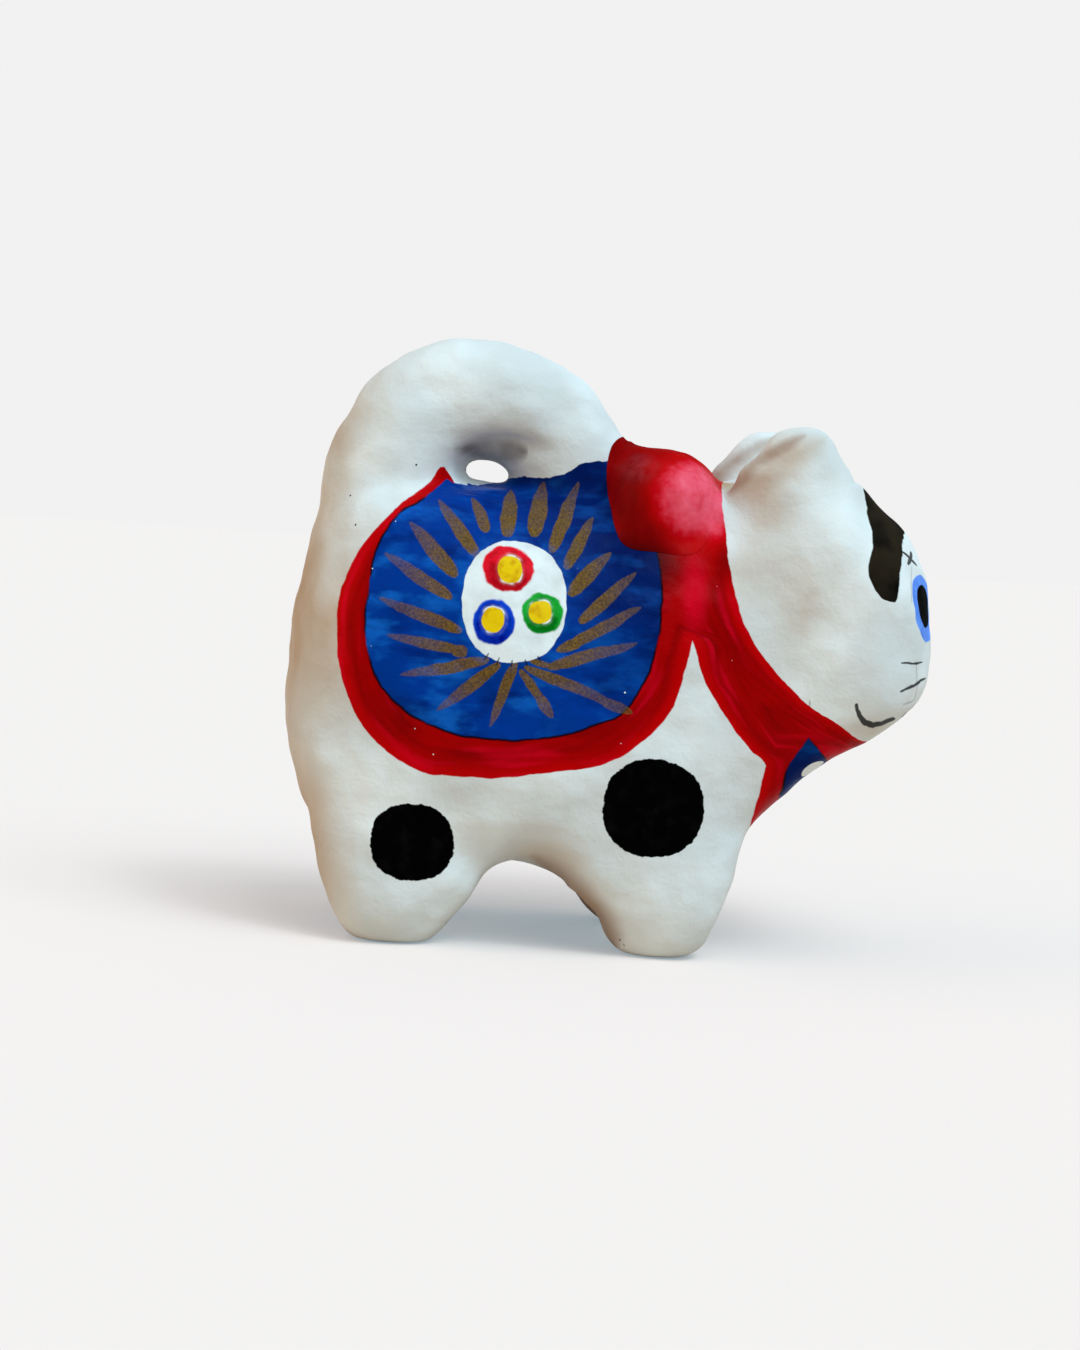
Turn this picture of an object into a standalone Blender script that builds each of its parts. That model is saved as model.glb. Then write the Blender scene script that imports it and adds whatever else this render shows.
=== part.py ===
"""A papier-mache dog figurine: two moulded paper half shells with a pasted-on tail, ears and collar knot.

Metres, +Z up. The dog faces +X and stands on Z = 0, with its origin under the middle of its length.
The shells were cut off their mould along Y = 0, set back together and closed with paper strips, and each
leg end is closed by a flat paper sole.
"""

import math

import bmesh
import bpy
from mathutils import Matrix, Vector

# Driving dimensions of the paper work, in metres.
MM = 0.001
WALL = 2.0 * MM
GLUE_GAP = 0.3 * MM
SOLE_THICKNESS = 1.2 * MM
STRIP_WIDTH = 7.0 * MM
STRIP_THICKNESS = 0.5 * MM
SEAM_WIDTH = 2 * GLUE_GAP
BEYOND = 200.0 * MM

# Mesh fineness: the soft forms are grown on a fine grid and then thinned to this many triangles.
FORM_GRID = 1.3 * MM
FORM_SMOOTHING = 9
BODY_TRIANGLES = 3000
INSIDE_TRIANGLES = 1500
TAIL_TRIANGLES = 700
TAIL_INSIDE_TRIANGLES = 400
SPAN_STEPS = 4
BODY_SIDES = 28
LEG_SIDES = 20
TAIL_SIDES = 24

# Trunk and head, rump to face, in millimetres: the section's top point (x, z) and bottom point (x, z) on the
# centre plane, its half width, and how square its upper half is.
BODY_STATIONS = (
    (-55.1, 49.0, -55.2, 43.0, 3.0, 2.1),
    (-54.6, 55.0, -54.8, 37.0, 9.5, 2.1),
    (-53.2, 63.0, -53.4, 29.0, 15.5, 2.1),
    (-50.6, 72.0, -50.4, 20.5, 20.5, 2.1),
    (-45.5, 78.0, -43.5, 13.5, 24.0, 2.1),
    (-36.0, 79.0, -32.0, 12.0, 26.5, 2.1),
    (-22.0, 77.4, -14.0, 12.6, 27.8, 2.1),
    (-8.0, 77.6, -2.0, 11.8, 27.5, 2.1),
    (5.0, 79.0, 9.0, 12.5, 26.2, 2.2),
    (13.0, 80.0, 19.5, 16.0, 24.8, 2.3),
    (20.5, 81.2, 26.5, 24.2, 24.8, 2.5),
    (28.0, 83.2, 33.0, 30.8, 26.4, 2.7),
    (35.5, 82.6, 39.8, 36.2, 27.6, 2.7),
    (42.6, 79.0, 45.9, 39.8, 26.6, 2.5),
    (48.4, 74.0, 50.6, 42.8, 23.2, 2.3),
    (52.2, 67.5, 53.6, 45.4, 17.8, 2.2),
    (54.3, 61.5, 54.8, 49.0, 10.5, 2.1),
    (55.2, 57.0, 55.2, 53.0, 3.0, 2.1),
)
BODY_WIDEST = 0.44
BODY_LOWER_SQUARENESS = 4.2

# Legs, top to bottom, in millimetres: height, centre x, half length along x, centre y, half width along y.
FRONT_LEG_STATIONS = (
    (36.0, 9.0, 12.0, 13.0, 10.5),
    (24.0, 9.3, 13.8, 15.2, 10.4),
    (15.0, 8.6, 13.8, 16.2, 10.1),
    (8.6, 9.0, 12.0, 16.0, 9.6),
    (4.6, 9.4, 10.0, 15.8, 8.6),
    (1.6, 9.5, 8.0, 15.7, 7.2),
    (-0.6, 9.5, 5.4, 15.7, 5.2),
    (-2.4, 9.5, 2.6, 15.7, 2.8),
)
HIND_LEG_STATIONS = (
    (36.0, -37.5, 13.0, 12.0, 10.0),
    (24.0, -36.0, 14.6, 14.2, 10.2),
    (15.0, -34.4, 14.8, 15.4, 10.0),
    (8.6, -34.2, 12.8, 15.4, 9.5),
    (4.6, -34.8, 11.0, 15.2, 8.6),
    (1.6, -35.0, 8.8, 15.2, 7.2),
    (-0.6, -35.0, 6.0, 15.2, 5.2),
    (-2.4, -35.0, 3.0, 15.2, 2.8),
)
LEG_SQUARENESS = 2.4

# Tail, rump to nape, in millimetres: the bend line's x and z, the half depth in the centre plane and the
# half width.
TAIL_STATIONS = (
    (-39.0, 66.0, 11.6, 11.5),
    (-40.0, 73.0, 11.8, 11.8),
    (-38.9, 80.0, 11.6, 11.5),
    (-34.8, 87.2, 11.2, 11.0),
    (-25.0, 91.6, 10.3, 10.4),
    (-14.4, 88.4, 10.2, 10.0),
    (-9.2, 81.4, 9.9, 9.6),
    (-7.4, 74.0, 9.4, 9.2),
    (-7.0, 67.0, 8.8, 8.8),
)
TAIL_HOLE = Vector((-23.4, 0.0, 79.0)) * MM
TAIL_CORE_RADIUS = 12.0 * MM

# Ears: petals that stand along the sides of the crown.
EAR_CENTRE = Vector((26.6, -15.4, 81.2)) * MM
EAR_RADII = Vector((11.2, 5.6, 8.6)) * MM
EAR_LEAN = math.radians(8.0)
EAR_SWEEP = math.radians(-6.0)
EAR_RISE = math.radians(-36.0)
EAR_SIDES = 16
EAR_ROWS = 10

# Collar knot: a wad of paper pulp across the nape.
KNOT_CENTRE = Vector((6.5, 0.0, 74.6)) * MM
KNOT_RADII = Vector((11.0, 20.0, 10.8)) * MM
KNOT_SQUARENESS = 2.6
KNOT_SIDES = 20
KNOT_ROWS = 12

# Where the closing strip along the seam is cut into lengths: angles about this point, from +X towards +Z.
STRIP_HUB = Vector((0.0, 0.0, 46.0)) * MM
STRIP_LENGTHS = {
    "seam_strip_face": (-17.0, 54.0),
    "seam_strip_back": (54.0, 141.0),
    "seam_strip_rump": (141.0, 238.0),
    "seam_strip_belly": (238.0, 294.0),
    "seam_strip_chest": (294.0, 343.0),
}
STRIP_END_TRIM = math.radians(0.5)

# Finishes: linear red, green and blue, then roughness.
COATED_WHITE = ((0.70, 0.72, 0.70), 0.5)
BARE_PAPER = ((0.56, 0.47, 0.34), 0.9)
KNOT_RED = ((0.48, 0.003, 0.008), 0.38)


def clear_scene():
    """Empties the file, so that the part is all it holds."""
    for old in list(bpy.data.objects):
        bpy.data.objects.remove(old)


def new_collection(name):
    collection = bpy.data.collections.new(name)
    bpy.context.scene.collection.children.link(collection)
    return collection


def new_object(name, mesh, collection):
    obj = bpy.data.objects.new(name, mesh)
    collection.objects.link(obj)
    return obj


def helper(name, mesh):
    """A form or cutter that shapes the pieces and is no piece itself."""
    obj = new_object(name, mesh, cutters)
    obj.hide_render = True
    obj.display_type = "WIRE"
    return obj


def evaluated_mesh(obj):
    """The object's mesh with its modifiers applied."""
    graph = bpy.context.evaluated_depsgraph_get()
    return bpy.data.meshes.new_from_object(obj.evaluated_get(graph))


def apply_modifiers(obj):
    mesh = evaluated_mesh(obj)
    obj.modifiers.clear()
    obj.data = mesh
    return obj


def material(name, colour, roughness):
    made = bpy.data.materials.new(name)
    made.use_nodes = True
    shader = made.node_tree.nodes["Principled BSDF"]
    shader.inputs["Base Color"].default_value = (*colour, 1.0)
    shader.inputs["Roughness"].default_value = roughness
    shader.inputs["Metallic"].default_value = 0.0
    return made


def smooth_rows(rows, steps):
    """Rows of numbers with extra rows between them, on a Catmull-Rom curve through the given ones."""
    padded = [rows[0], *rows, rows[-1]]
    found = []
    for before, start, end, after in zip(padded, padded[1:], padded[2:], padded[3:]):
        for step in range(steps):
            t = step / steps
            found.append(tuple(
                0.5 * (2 * b + (c - a) * t + (2 * a - 5 * b + 4 * c - d) * t**2
                       + (3 * b - a - 3 * c + d) * t**3)
                for a, b, c, d in zip(before, start, end, after)
            ))
    found.append(tuple(rows[-1]))
    return found


def superellipse(angle, squareness):
    """A point on a unit oval: a circle at a squareness of 2, nearer a square above it."""
    c, s = math.cos(angle), math.sin(angle)
    across = math.copysign(abs(c) ** (2 / squareness), c)
    along = math.copysign(abs(s) ** (2 / squareness), s)
    return across, along


def ring_angles(sides):
    return [2 * math.pi * k / sides for k in range(sides)]


def loft(rings):
    """A closed mesh skinned over a row of rings of equally many points, with both ends capped."""
    form = bmesh.new()
    rows = [[form.verts.new(point) for point in ring] for ring in rings]
    for row, following in zip(rows, rows[1:]):
        for k in range(len(row)):
            after = (k + 1) % len(row)
            form.faces.new((row[k], row[after], following[after], following[k]))
    form.faces.new(rows[0])
    form.faces.new(rows[-1])
    bmesh.ops.recalc_face_normals(form, faces=form.faces)
    mesh = bpy.data.meshes.new("loft")
    form.to_mesh(mesh)
    form.free()
    return mesh


def body_form():
    rings = []
    for top_x, top_z, low_x, low_z, half_width, squareness in smooth_rows(BODY_STATIONS, SPAN_STEPS):
        top = Vector((top_x, 0, top_z)) * MM
        low = Vector((low_x, 0, low_z)) * MM
        middle = low.lerp(top, BODY_WIDEST)
        ring = []
        for angle in ring_angles(BODY_SIDES):
            upper = math.sin(angle) > 0
            across, along = superellipse(angle, squareness if upper else BODY_LOWER_SQUARENESS)
            reach = top - middle if upper else middle - low
            ring.append(middle + reach * along + Vector((0, half_width * MM * across, 0)))
        rings.append(ring)
    return loft(rings)


def leg_form(stations, side):
    rings = []
    for height, x, half_length, y, half_width in smooth_rows(stations, SPAN_STEPS):
        ring = []
        for angle in ring_angles(LEG_SIDES):
            along, across = superellipse(angle, LEG_SQUARENESS)
            ring.append(Vector((x + half_length * along, side * y + half_width * across, height)) * MM)
        rings.append(ring)
    return loft(rings)


def tail_form():
    rows = smooth_rows(TAIL_STATIONS, SPAN_STEPS)
    rings = []
    for k, (x, z, half_depth, half_width) in enumerate(rows):
        before, after = rows[max(k - 1, 0)], rows[min(k + 1, len(rows) - 1)]
        bend = Vector((after[0] - before[0], 0, after[1] - before[1])).normalized()
        outward = Vector((-bend.z, 0, bend.x))
        rings.append([
            (Vector((x, half_width * math.cos(angle), z)) + outward * half_depth * math.sin(angle)) * MM
            for angle in ring_angles(TAIL_SIDES)
        ])
    return loft(rings)


def ear_form():
    """The right ear, as an oval petal that rises toward the face."""
    form = bmesh.new()
    bmesh.ops.create_uvsphere(form, u_segments=EAR_SIDES, v_segments=EAR_ROWS, radius=1.0)
    place = (
        Matrix.Translation(EAR_CENTRE)
        @ Matrix.Rotation(EAR_SWEEP, 4, "Z")
        @ Matrix.Rotation(EAR_LEAN, 4, "X")
        @ Matrix.Rotation(EAR_RISE, 4, "Y")
        @ Matrix.Diagonal((*EAR_RADII, 1))
    )
    form.transform(place)
    mesh = bpy.data.meshes.new("ear")
    form.to_mesh(mesh)
    form.free()
    return mesh


def knot_form():
    """A rounded barrel that lies across the nape."""
    rings = []
    for row in range(1, KNOT_ROWS):
        thickness, reach = superellipse(math.pi * (row / KNOT_ROWS - 0.5), KNOT_SQUARENESS)
        rings.append([
            KNOT_CENTRE + KNOT_RADII * Vector((thickness * math.cos(angle), reach, thickness * math.sin(angle)))
            for angle in ring_angles(KNOT_SIDES)
        ])
    return loft(rings)


def joined(meshes):
    form = bmesh.new()
    for mesh in meshes:
        form.from_mesh(mesh)
    mesh = bpy.data.meshes.new("joined")
    form.to_mesh(mesh)
    form.free()
    return mesh


def thinned(obj, triangles):
    """Cuts the object's mesh down to about this many triangles."""
    obj.data.calc_loop_triangles()
    thinning = obj.modifiers.new("thinning", "DECIMATE")
    thinning.ratio = min(1.0, triangles / len(obj.data.loop_triangles))
    thinning.use_collapse_triangulate = True
    return apply_modifiers(obj)


def grown_together(name, meshes):
    """One soft form from overlapping shapes, with rounded valleys where they meet."""
    form = helper(name, joined(meshes))
    skin = form.modifiers.new("skin", "REMESH")
    skin.mode = "VOXEL"
    skin.voxel_size = FORM_GRID
    easing = form.modifiers.new("easing", "SMOOTH")
    easing.factor = 0.5
    easing.iterations = FORM_SMOOTHING
    return apply_modifiers(form)


def offset(name, source, distance):
    """A copy of a form, grown outwards by this distance, or inwards where it is negative."""
    form = helper(name, source.data.copy())
    push = form.modifiers.new("push", "DISPLACE")
    push.strength = distance
    push.mid_level = 0.0
    return apply_modifiers(form)


def box(name, low, high):
    """A cutter from one corner to the other."""
    form = bmesh.new()
    bmesh.ops.create_cube(form, size=1.0)
    size = Vector(high) - Vector(low)
    form.transform(Matrix.Translation((Vector(low) + Vector(high)) / 2) @ Matrix.Diagonal((*size, 1)))
    mesh = bpy.data.meshes.new(name)
    form.to_mesh(mesh)
    form.free()
    return helper(name, mesh)


def combined(obj, operation, *others):
    """The object after one Boolean with each of the others in turn."""
    for other in others:
        step = obj.modifiers.new(operation.lower(), "BOOLEAN")
        step.operation = operation
        step.object = other
        apply_modifiers(obj)
    return obj


def copy_of(name, source):
    return helper(name, source.data.copy())


def mirrored_mesh(mesh):
    """The same mesh on the other side of the centre plane."""
    form = bmesh.new()
    form.from_mesh(mesh)
    form.transform(Matrix.Diagonal((1, -1, 1, 1)))
    bmesh.ops.reverse_faces(form, faces=form.faces)
    mesh = bpy.data.meshes.new("mirrored")
    form.to_mesh(mesh)
    form.free()
    return mesh


def piece(name, mesh, finish):
    """A finished piece, shaded smooth, in a material of its own."""
    obj = new_object(name, mesh, parts)
    obj.parent = dog
    mesh.materials.clear()
    mesh.materials.append(material(name + "_surface", *finish))
    mesh.shade_smooth()
    mesh.set_sharp_from_angle(angle=math.radians(45))


def seam_slab(name, half_width):
    return box(name, (-BEYOND, -half_width, -BEYOND), (BEYOND, half_width, BEYOND))


def seam_trench(name, form):
    """What to cut off either side of the seam so that a strip lies flush."""
    floor = offset(name + "_floor", form, -STRIP_THICKNESS - GLUE_GAP)
    slab = seam_slab(name, STRIP_WIDTH / 2 + GLUE_GAP)
    return combined(slab, "DIFFERENCE", floor)


def right_half(name):
    """The dog's right side is -Y. Its half stops short of the seam."""
    return box(name, (-BEYOND, -BEYOND, -BEYOND), (BEYOND, -SEAM_WIDTH / 2, BEYOND))


def both_sides(name, right, finish):
    piece(name + "_right", right.data.copy(), finish)
    piece(name + "_left", mirrored_mesh(right.data), finish)


def make_body_shells(body, body_inside):
    shell = copy_of("body_shell", body)
    above_soles = box("above_soles", (-BEYOND, -BEYOND, SOLE_THICKNESS + GLUE_GAP), (BEYOND, BEYOND, BEYOND))
    combined(shell, "DIFFERENCE", body_inside)
    combined(shell, "INTERSECT", right_half("body_right_half"), above_soles)
    combined(shell, "DIFFERENCE", seam_trench("body_trench", body))
    both_sides("body_shell", shell, COATED_WHITE)


def make_soles(body):
    for place, stations in (("front", FRONT_LEG_STATIONS), ("hind", HIND_LEG_STATIONS)):
        x = stations[-1][1] * MM
        half = max(row[2] for row in stations) * MM
        sole = copy_of("sole_" + place, body)
        slice_box = box("sole_slice_" + place, (x - half, -BEYOND, 0), (x + half, 0, SOLE_THICKNESS))
        combined(sole, "INTERSECT", slice_box)
        both_sides("sole_" + place, sole, BARE_PAPER)


def wedge(name, start, end):
    """A cutter between two angles about the strips' hub, across the whole width."""
    form = bmesh.new()
    corners = [STRIP_HUB]
    for angle in (start, (start + end) / 2, end):
        corners.append(STRIP_HUB + Vector((math.cos(angle), 0, math.sin(angle))) * 2 * BEYOND)
    base = form.faces.new([form.verts.new(corner - Vector((0, BEYOND, 0))) for corner in corners])
    swept = bmesh.ops.extrude_face_region(form, geom=[base])
    moved = [item for item in swept["geom"] if isinstance(item, bmesh.types.BMVert)]
    bmesh.ops.translate(form, verts=moved, vec=(0, 2 * BEYOND, 0))
    bmesh.ops.recalc_face_normals(form, faces=form.faces)
    mesh = bpy.data.meshes.new(name)
    form.to_mesh(mesh)
    form.free()
    return helper(name, mesh)


def seam_band(name, form):
    """The whole strip round a form's seam, flush with its surface."""
    band = copy_of(name, form)
    combined(band, "INTERSECT", seam_slab(name + "_slab", STRIP_WIDTH / 2))
    return combined(band, "DIFFERENCE", offset(name + "_under", form, -STRIP_THICKNESS))


def make_body_strips(body):
    band = seam_band("body_band", body)
    for name, (start, end) in STRIP_LENGTHS.items():
        length = copy_of(name + "_length", band)
        slice_start = math.radians(start) + STRIP_END_TRIM
        slice_end = math.radians(end) - STRIP_END_TRIM
        combined(length, "INTERSECT", wedge(name + "_wedge", slice_start, slice_end))
        piece(name, length.data.copy(), BARE_PAPER)


def drum(name, centre, radius):
    """A round cutter across the whole width."""
    form = bmesh.new()
    bmesh.ops.create_cone(form, cap_ends=True, segments=24, radius1=radius, radius2=radius, depth=2 * BEYOND)
    form.transform(Matrix.Translation(centre) @ Matrix.Rotation(math.pi / 2, 4, "X"))
    mesh = bpy.data.meshes.new(name)
    form.to_mesh(mesh)
    form.free()
    return helper(name, mesh)


def make_tail(tail, tail_inside, body_outside, knot_outside):
    """Two hollow halves, open at both roots, with a strip along the outer and the inner side of the arch."""
    shell = copy_of("tail_shell", tail)
    combined(shell, "INTERSECT", right_half("tail_right_half"))
    combined(shell, "DIFFERENCE", tail_inside, seam_trench("tail_trench", tail))
    combined(shell, "DIFFERENCE", body_outside, knot_outside)
    both_sides("tail_shell", shell, COATED_WHITE)
    band = combined(seam_band("tail_band", tail), "DIFFERENCE", body_outside, knot_outside)
    core = drum("tail_core", TAIL_HOLE, TAIL_CORE_RADIUS)
    for place, operation in (("outer", "DIFFERENCE"), ("inner", "INTERSECT")):
        strip = combined(copy_of("tail_length_" + place, band), operation, core)
        piece("tail_strip_" + place, strip.data.copy(), BARE_PAPER)


def make_ears(body_outside):
    ear = helper("ear", ear_form())
    combined(ear, "DIFFERENCE", body_outside)
    both_sides("ear", ear, COATED_WHITE)


def make_knot(knot, body_outside):
    wad = copy_of("knot_wad", knot)
    combined(wad, "DIFFERENCE", body_outside)
    piece("collar_knot", wad.data.copy(), KNOT_RED)


clear_scene()
parts = new_collection("papier_mache_dog")
cutters = new_collection("cutters")
cutters.hide_render = True
dog = new_object("dog", None, parts)

legs = []
for leg_stations in (FRONT_LEG_STATIONS, HIND_LEG_STATIONS):
    for side in (-1, 1):
        legs.append(leg_form(leg_stations, side))
full_body = grown_together("full_body", [body_form(), *legs])
body = thinned(copy_of("body", full_body), BODY_TRIANGLES)
body_inside = thinned(offset("body_inside", full_body, -WALL), INSIDE_TRIANGLES)
body_outside = offset("body_outside", body, GLUE_GAP)
full_tail = grown_together("full_tail", [tail_form()])
tail = thinned(copy_of("tail", full_tail), TAIL_TRIANGLES)
tail_inside = thinned(offset("tail_inside", full_tail, -WALL), TAIL_INSIDE_TRIANGLES)
knot = helper("knot", knot_form())
knot_outside = offset("knot_outside", knot, GLUE_GAP)

make_body_shells(body, body_inside)
make_soles(body)
make_body_strips(body)
make_tail(tail, tail_inside, body_outside, knot_outside)
make_ears(body_outside)
make_knot(knot, body_outside)
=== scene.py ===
"""Looks of a papier-mache dog figurine: a chalk-white coat over the paper shell, painted by hand."""

import math

import bmesh
import bpy
from mathutils import Matrix, Vector, noise


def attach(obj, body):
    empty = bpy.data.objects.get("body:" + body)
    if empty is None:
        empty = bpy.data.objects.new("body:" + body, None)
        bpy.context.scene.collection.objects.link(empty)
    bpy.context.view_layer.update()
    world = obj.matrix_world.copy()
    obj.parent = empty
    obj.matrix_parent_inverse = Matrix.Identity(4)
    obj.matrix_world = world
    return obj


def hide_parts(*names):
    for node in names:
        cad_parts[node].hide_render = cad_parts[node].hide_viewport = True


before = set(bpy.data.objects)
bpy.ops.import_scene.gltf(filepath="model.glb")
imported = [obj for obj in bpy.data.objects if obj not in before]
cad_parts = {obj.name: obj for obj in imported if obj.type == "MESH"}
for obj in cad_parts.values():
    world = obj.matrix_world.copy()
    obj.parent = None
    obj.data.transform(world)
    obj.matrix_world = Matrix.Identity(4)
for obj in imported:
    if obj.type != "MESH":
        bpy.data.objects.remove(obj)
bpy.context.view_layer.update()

MM = 0.001

# Camera: a hand-held view of the dog's right side, slightly from behind and above, and slightly tilted.
IMAGE_LONG_SIDE = 1350
IMAGE_CENTRE = (540, 675)
DOG_CENTRE_IN_IMAGE = (609, 644)
IMAGE_MM_PER_PIXEL = 0.173228
SENSOR_MM = 36.0
VIEW_HEIGHT_MM = 50.83
VIEW_CENTRE = Vector((0.0, 0.0, VIEW_HEIGHT_MM * MM))
VIEW_DISTANCE = 0.45
CLIP_START = 0.01
VIEW_AZIMUTH = math.radians(-5.0)
VIEW_ELEVATION = math.radians(4.0)
VIEW_ROLL = math.radians(4.03)
VIEW_BACK = Vector((
    math.sin(VIEW_AZIMUTH) * math.cos(VIEW_ELEVATION),
    -math.cos(VIEW_AZIMUTH) * math.cos(VIEW_ELEVATION),
    math.sin(VIEW_ELEVATION),
))
VIEW_RIGHT = Vector((math.cos(VIEW_AZIMUTH), math.sin(VIEW_AZIMUTH), 0.0))
VIEW_UP = VIEW_BACK.cross(VIEW_RIGHT)
ROLLED_RIGHT = VIEW_RIGHT * math.cos(VIEW_ROLL) + VIEW_UP * math.sin(VIEW_ROLL)
ROLLED_UP = VIEW_UP * math.cos(VIEW_ROLL) - VIEW_RIGHT * math.sin(VIEW_ROLL)
RIGHT_IN_IMAGE = DOG_CENTRE_IN_IMAGE[0] - IMAGE_CENTRE[0]
DOWN_IN_IMAGE = DOG_CENTRE_IN_IMAGE[1] - IMAGE_CENTRE[1]
EYE_SHIFT = IMAGE_MM_PER_PIXEL * MM * (ROLLED_UP * DOWN_IN_IMAGE - ROLLED_RIGHT * RIGHT_IN_IMAGE)
EYE_PLACE = VIEW_CENTRE + EYE_SHIFT + VIEW_BACK * VIEW_DISTANCE

# Coat: the fineness of its mesh, how far the paper pieces swell to close the paste gaps between them, the
# distance at which their corners are welded, the rounds of easing and the share that each round moves, the
# height where the flat soles end and the height over which lumps set in, and the lumps as size and height.
SKIN_GRID = 0.7 * MM
GAP_BRIDGE = 0.4 * MM
WELD = 0.001 * MM
SKIN_EASING = 34
EASING_SHARE = 0.5
SOLE_TOP = 0.6
SOLE_FADE = 3.0
LUMPS = ((13.0, 0.9), (5.5, 0.38), (2.4, 0.1))

# Dents (below zero) and swellings left by the maker's fingers: centre, radius along x, y and z, and height,
# in millimetres, on the right side. The left side mirrors them.
DENTS = (
    ((-48.5, -17.0, 62.0), (4.0, 9.0, 11.0), -0.9),
    ((-43.5, -23.0, 24.0), (3.0, 8.0, 7.0), -0.8),
    ((-23.0, -24.0, 15.0), (3.0, 8.0, 4.0), -0.7),
    ((-47.0, -4.0, 87.0), (5.0, 16.0, 5.0), -0.9),
    ((-36.0, -12.0, 92.0), (8.0, 8.0, 3.0), -0.6),
    ((-12.0, -10.0, 90.0), (4.0, 8.0, 6.0), -0.6),
    ((0.5, 0.0, 82.5), (3.5, 10.0, 4.0), 2.0),
    ((0.0, -27.0, 40.0), (9.0, 9.0, 7.0), -0.5),
    ((26.0, -25.0, 62.0), (7.0, 9.0, 9.0), -0.6),
    ((19.0, -17.0, 79.5), (3.5, 5.0, 3.5), -1.0),
    ((25.0, -19.0, 85.0), (3.5, 4.0, 3.5), -0.8),
    ((31.0, -21.0, 76.0), (9.0, 6.0, 4.0), 0.9),
    ((37.3, -14.0, 80.0), (3.5, 9.0, 3.0), 1.8),
    ((53.0, -20.0, 60.0), (5.0, 7.0, 7.0), -0.9),
    ((-14.0, -14.0, 17.0), (5.5, 16.0, 5.0), -2.2),
    ((-3.5, -18.0, 14.0), (4.5, 14.0, 5.0), 2.2),
    ((36.5, -15.0, 87.0), (4.0, 8.0, 5.0), -1.6),
    ((51.5, -14.0, 48.0), (6.0, 16.0, 8.0), -1.5),
    ((-27.0, 0.0, 79.3), (2.5, 14.0, 3.5), -0.9),
    ((-20.0, -8.0, 83.3), (5.5, 6.0, 1.9), -1.8),
    ((20.0, -15.5, 85.5), (4.0, 9.0, 4.0), -1.7),
)

# Places where the coat is smoothed over once more: centre, radius along x, y and z, and rounds of
# smoothing.
EASED_PLACES = (
    ((28.0, -19.0, 76.0), (15.0, 10.0, 6.0), 60),
)

# Painted shade, brown, in the hollows and toward the rear: centre, radius along x, y and z, and strength.
PAINTED_SHADE_PATCHES = (
    ((-56.0, -8.0, 58.0), (14.0, 26.0, 42.0), 0.95),
    ((-49.0, 0.0, 85.0), (7.0, 20.0, 9.0), 0.5),
    ((-51.0, -9.0, 14.0), (13.0, 26.0, 28.0), 0.95),
    ((-47.0, -21.0, 52.0), (10.0, 11.0, 22.0), 0.55),
    ((-10.0, -20.0, 16.0), (9.0, 10.0, 5.0), 0.45),
    ((-2.5, -16.0, 9.0), (4.0, 12.0, 9.0), 0.7),
    ((20.0, -24.0, 67.0), (7.0, 9.0, 12.0), 0.36),
    ((17.0, -7.0, 80.0), (5.0, 9.0, 5.0), 1.0),
    ((28.0, -25.0, 60.0), (11.0, 9.0, 13.0), 0.22),
    ((22.0, -21.0, 76.0), (7.0, 9.0, 7.0), 0.35),
    ((40.0, -22.0, 41.0), (9.0, 9.0, 3.0), 0.4),
)

# Painted shade as brush strokes on the flank: dark in the hollow of the tail, and brown on the ear, along
# its ridge and behind the front leg.
TAIL_HOLLOW_SHADE = ((-29.4, 82.6), (-16.4, 82.9), 5.6)
EAR_SHADE = ((35.0, 89.0), (18.4, 77.4), 6.0)
RIDGE_SHADE = (
    ((18.9, 77.9), (23.6, 85.0), 2.2),
    ((31.5, 89.2), (22.2, 83.6), 2.2),
)
LEG_SHADE = (
    ((-11.0, 13.5), (1.0, 4.8), 7.0),
    ((-2.5, 8.5), (5.0, -2.0), 7.5),
)

# Knot: the rounded form that its edge follows on the coat, how far it stands above the coat, and the angle
# from which its edge is sharp. A tiny radius keeps the ends of the form from a division by zero.
KNOT_CENTRE = Vector((5.6, 0.0, 75.6)) * MM
KNOT_RADII = Vector((9.4, 23.0, 11.4)) * MM
KNOT_SQUARENESS = 3.0
KNOT_SECTION_SQUARENESS = 4.5
KNOT_RAISE = 0.1 * MM
KNOT_CREASE = math.radians(50.0)
KNOT_SEGMENTS_AROUND = 64
KNOT_SEGMENTS_ALONG = 40
KNOT_WELD = 0.01 * MM
TINY_RADIUS = 1e-9

# Places of the red, as centre and radius: the crown of the knot, where a pink highlight and sheen are
# painted, a greyish rub behind it, the foot of the knot, where shade is painted, the reach of the knot's own
# paint over the collar, and a painted highlight streak below the knot.
KNOT_CROWN = ((11.2, -17.0, 77.0), (11.0, 14.0, 10.0))
KNOT_RUB = ((1.5, -15.0, 81.5), (4.0, 9.0, 4.0))
KNOT_SHADE = ((1.5, -23.0, 66.5), (12.0, 11.0, 8.0))
KNOT_SURROUND = ((8.0, -18.0, 72.0), (14.0, 22.0, 16.0))
COLLAR_HIGHLIGHT = ((11.0, -23.0, 62.0), (3.2, 8.0, 10.0))

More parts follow.
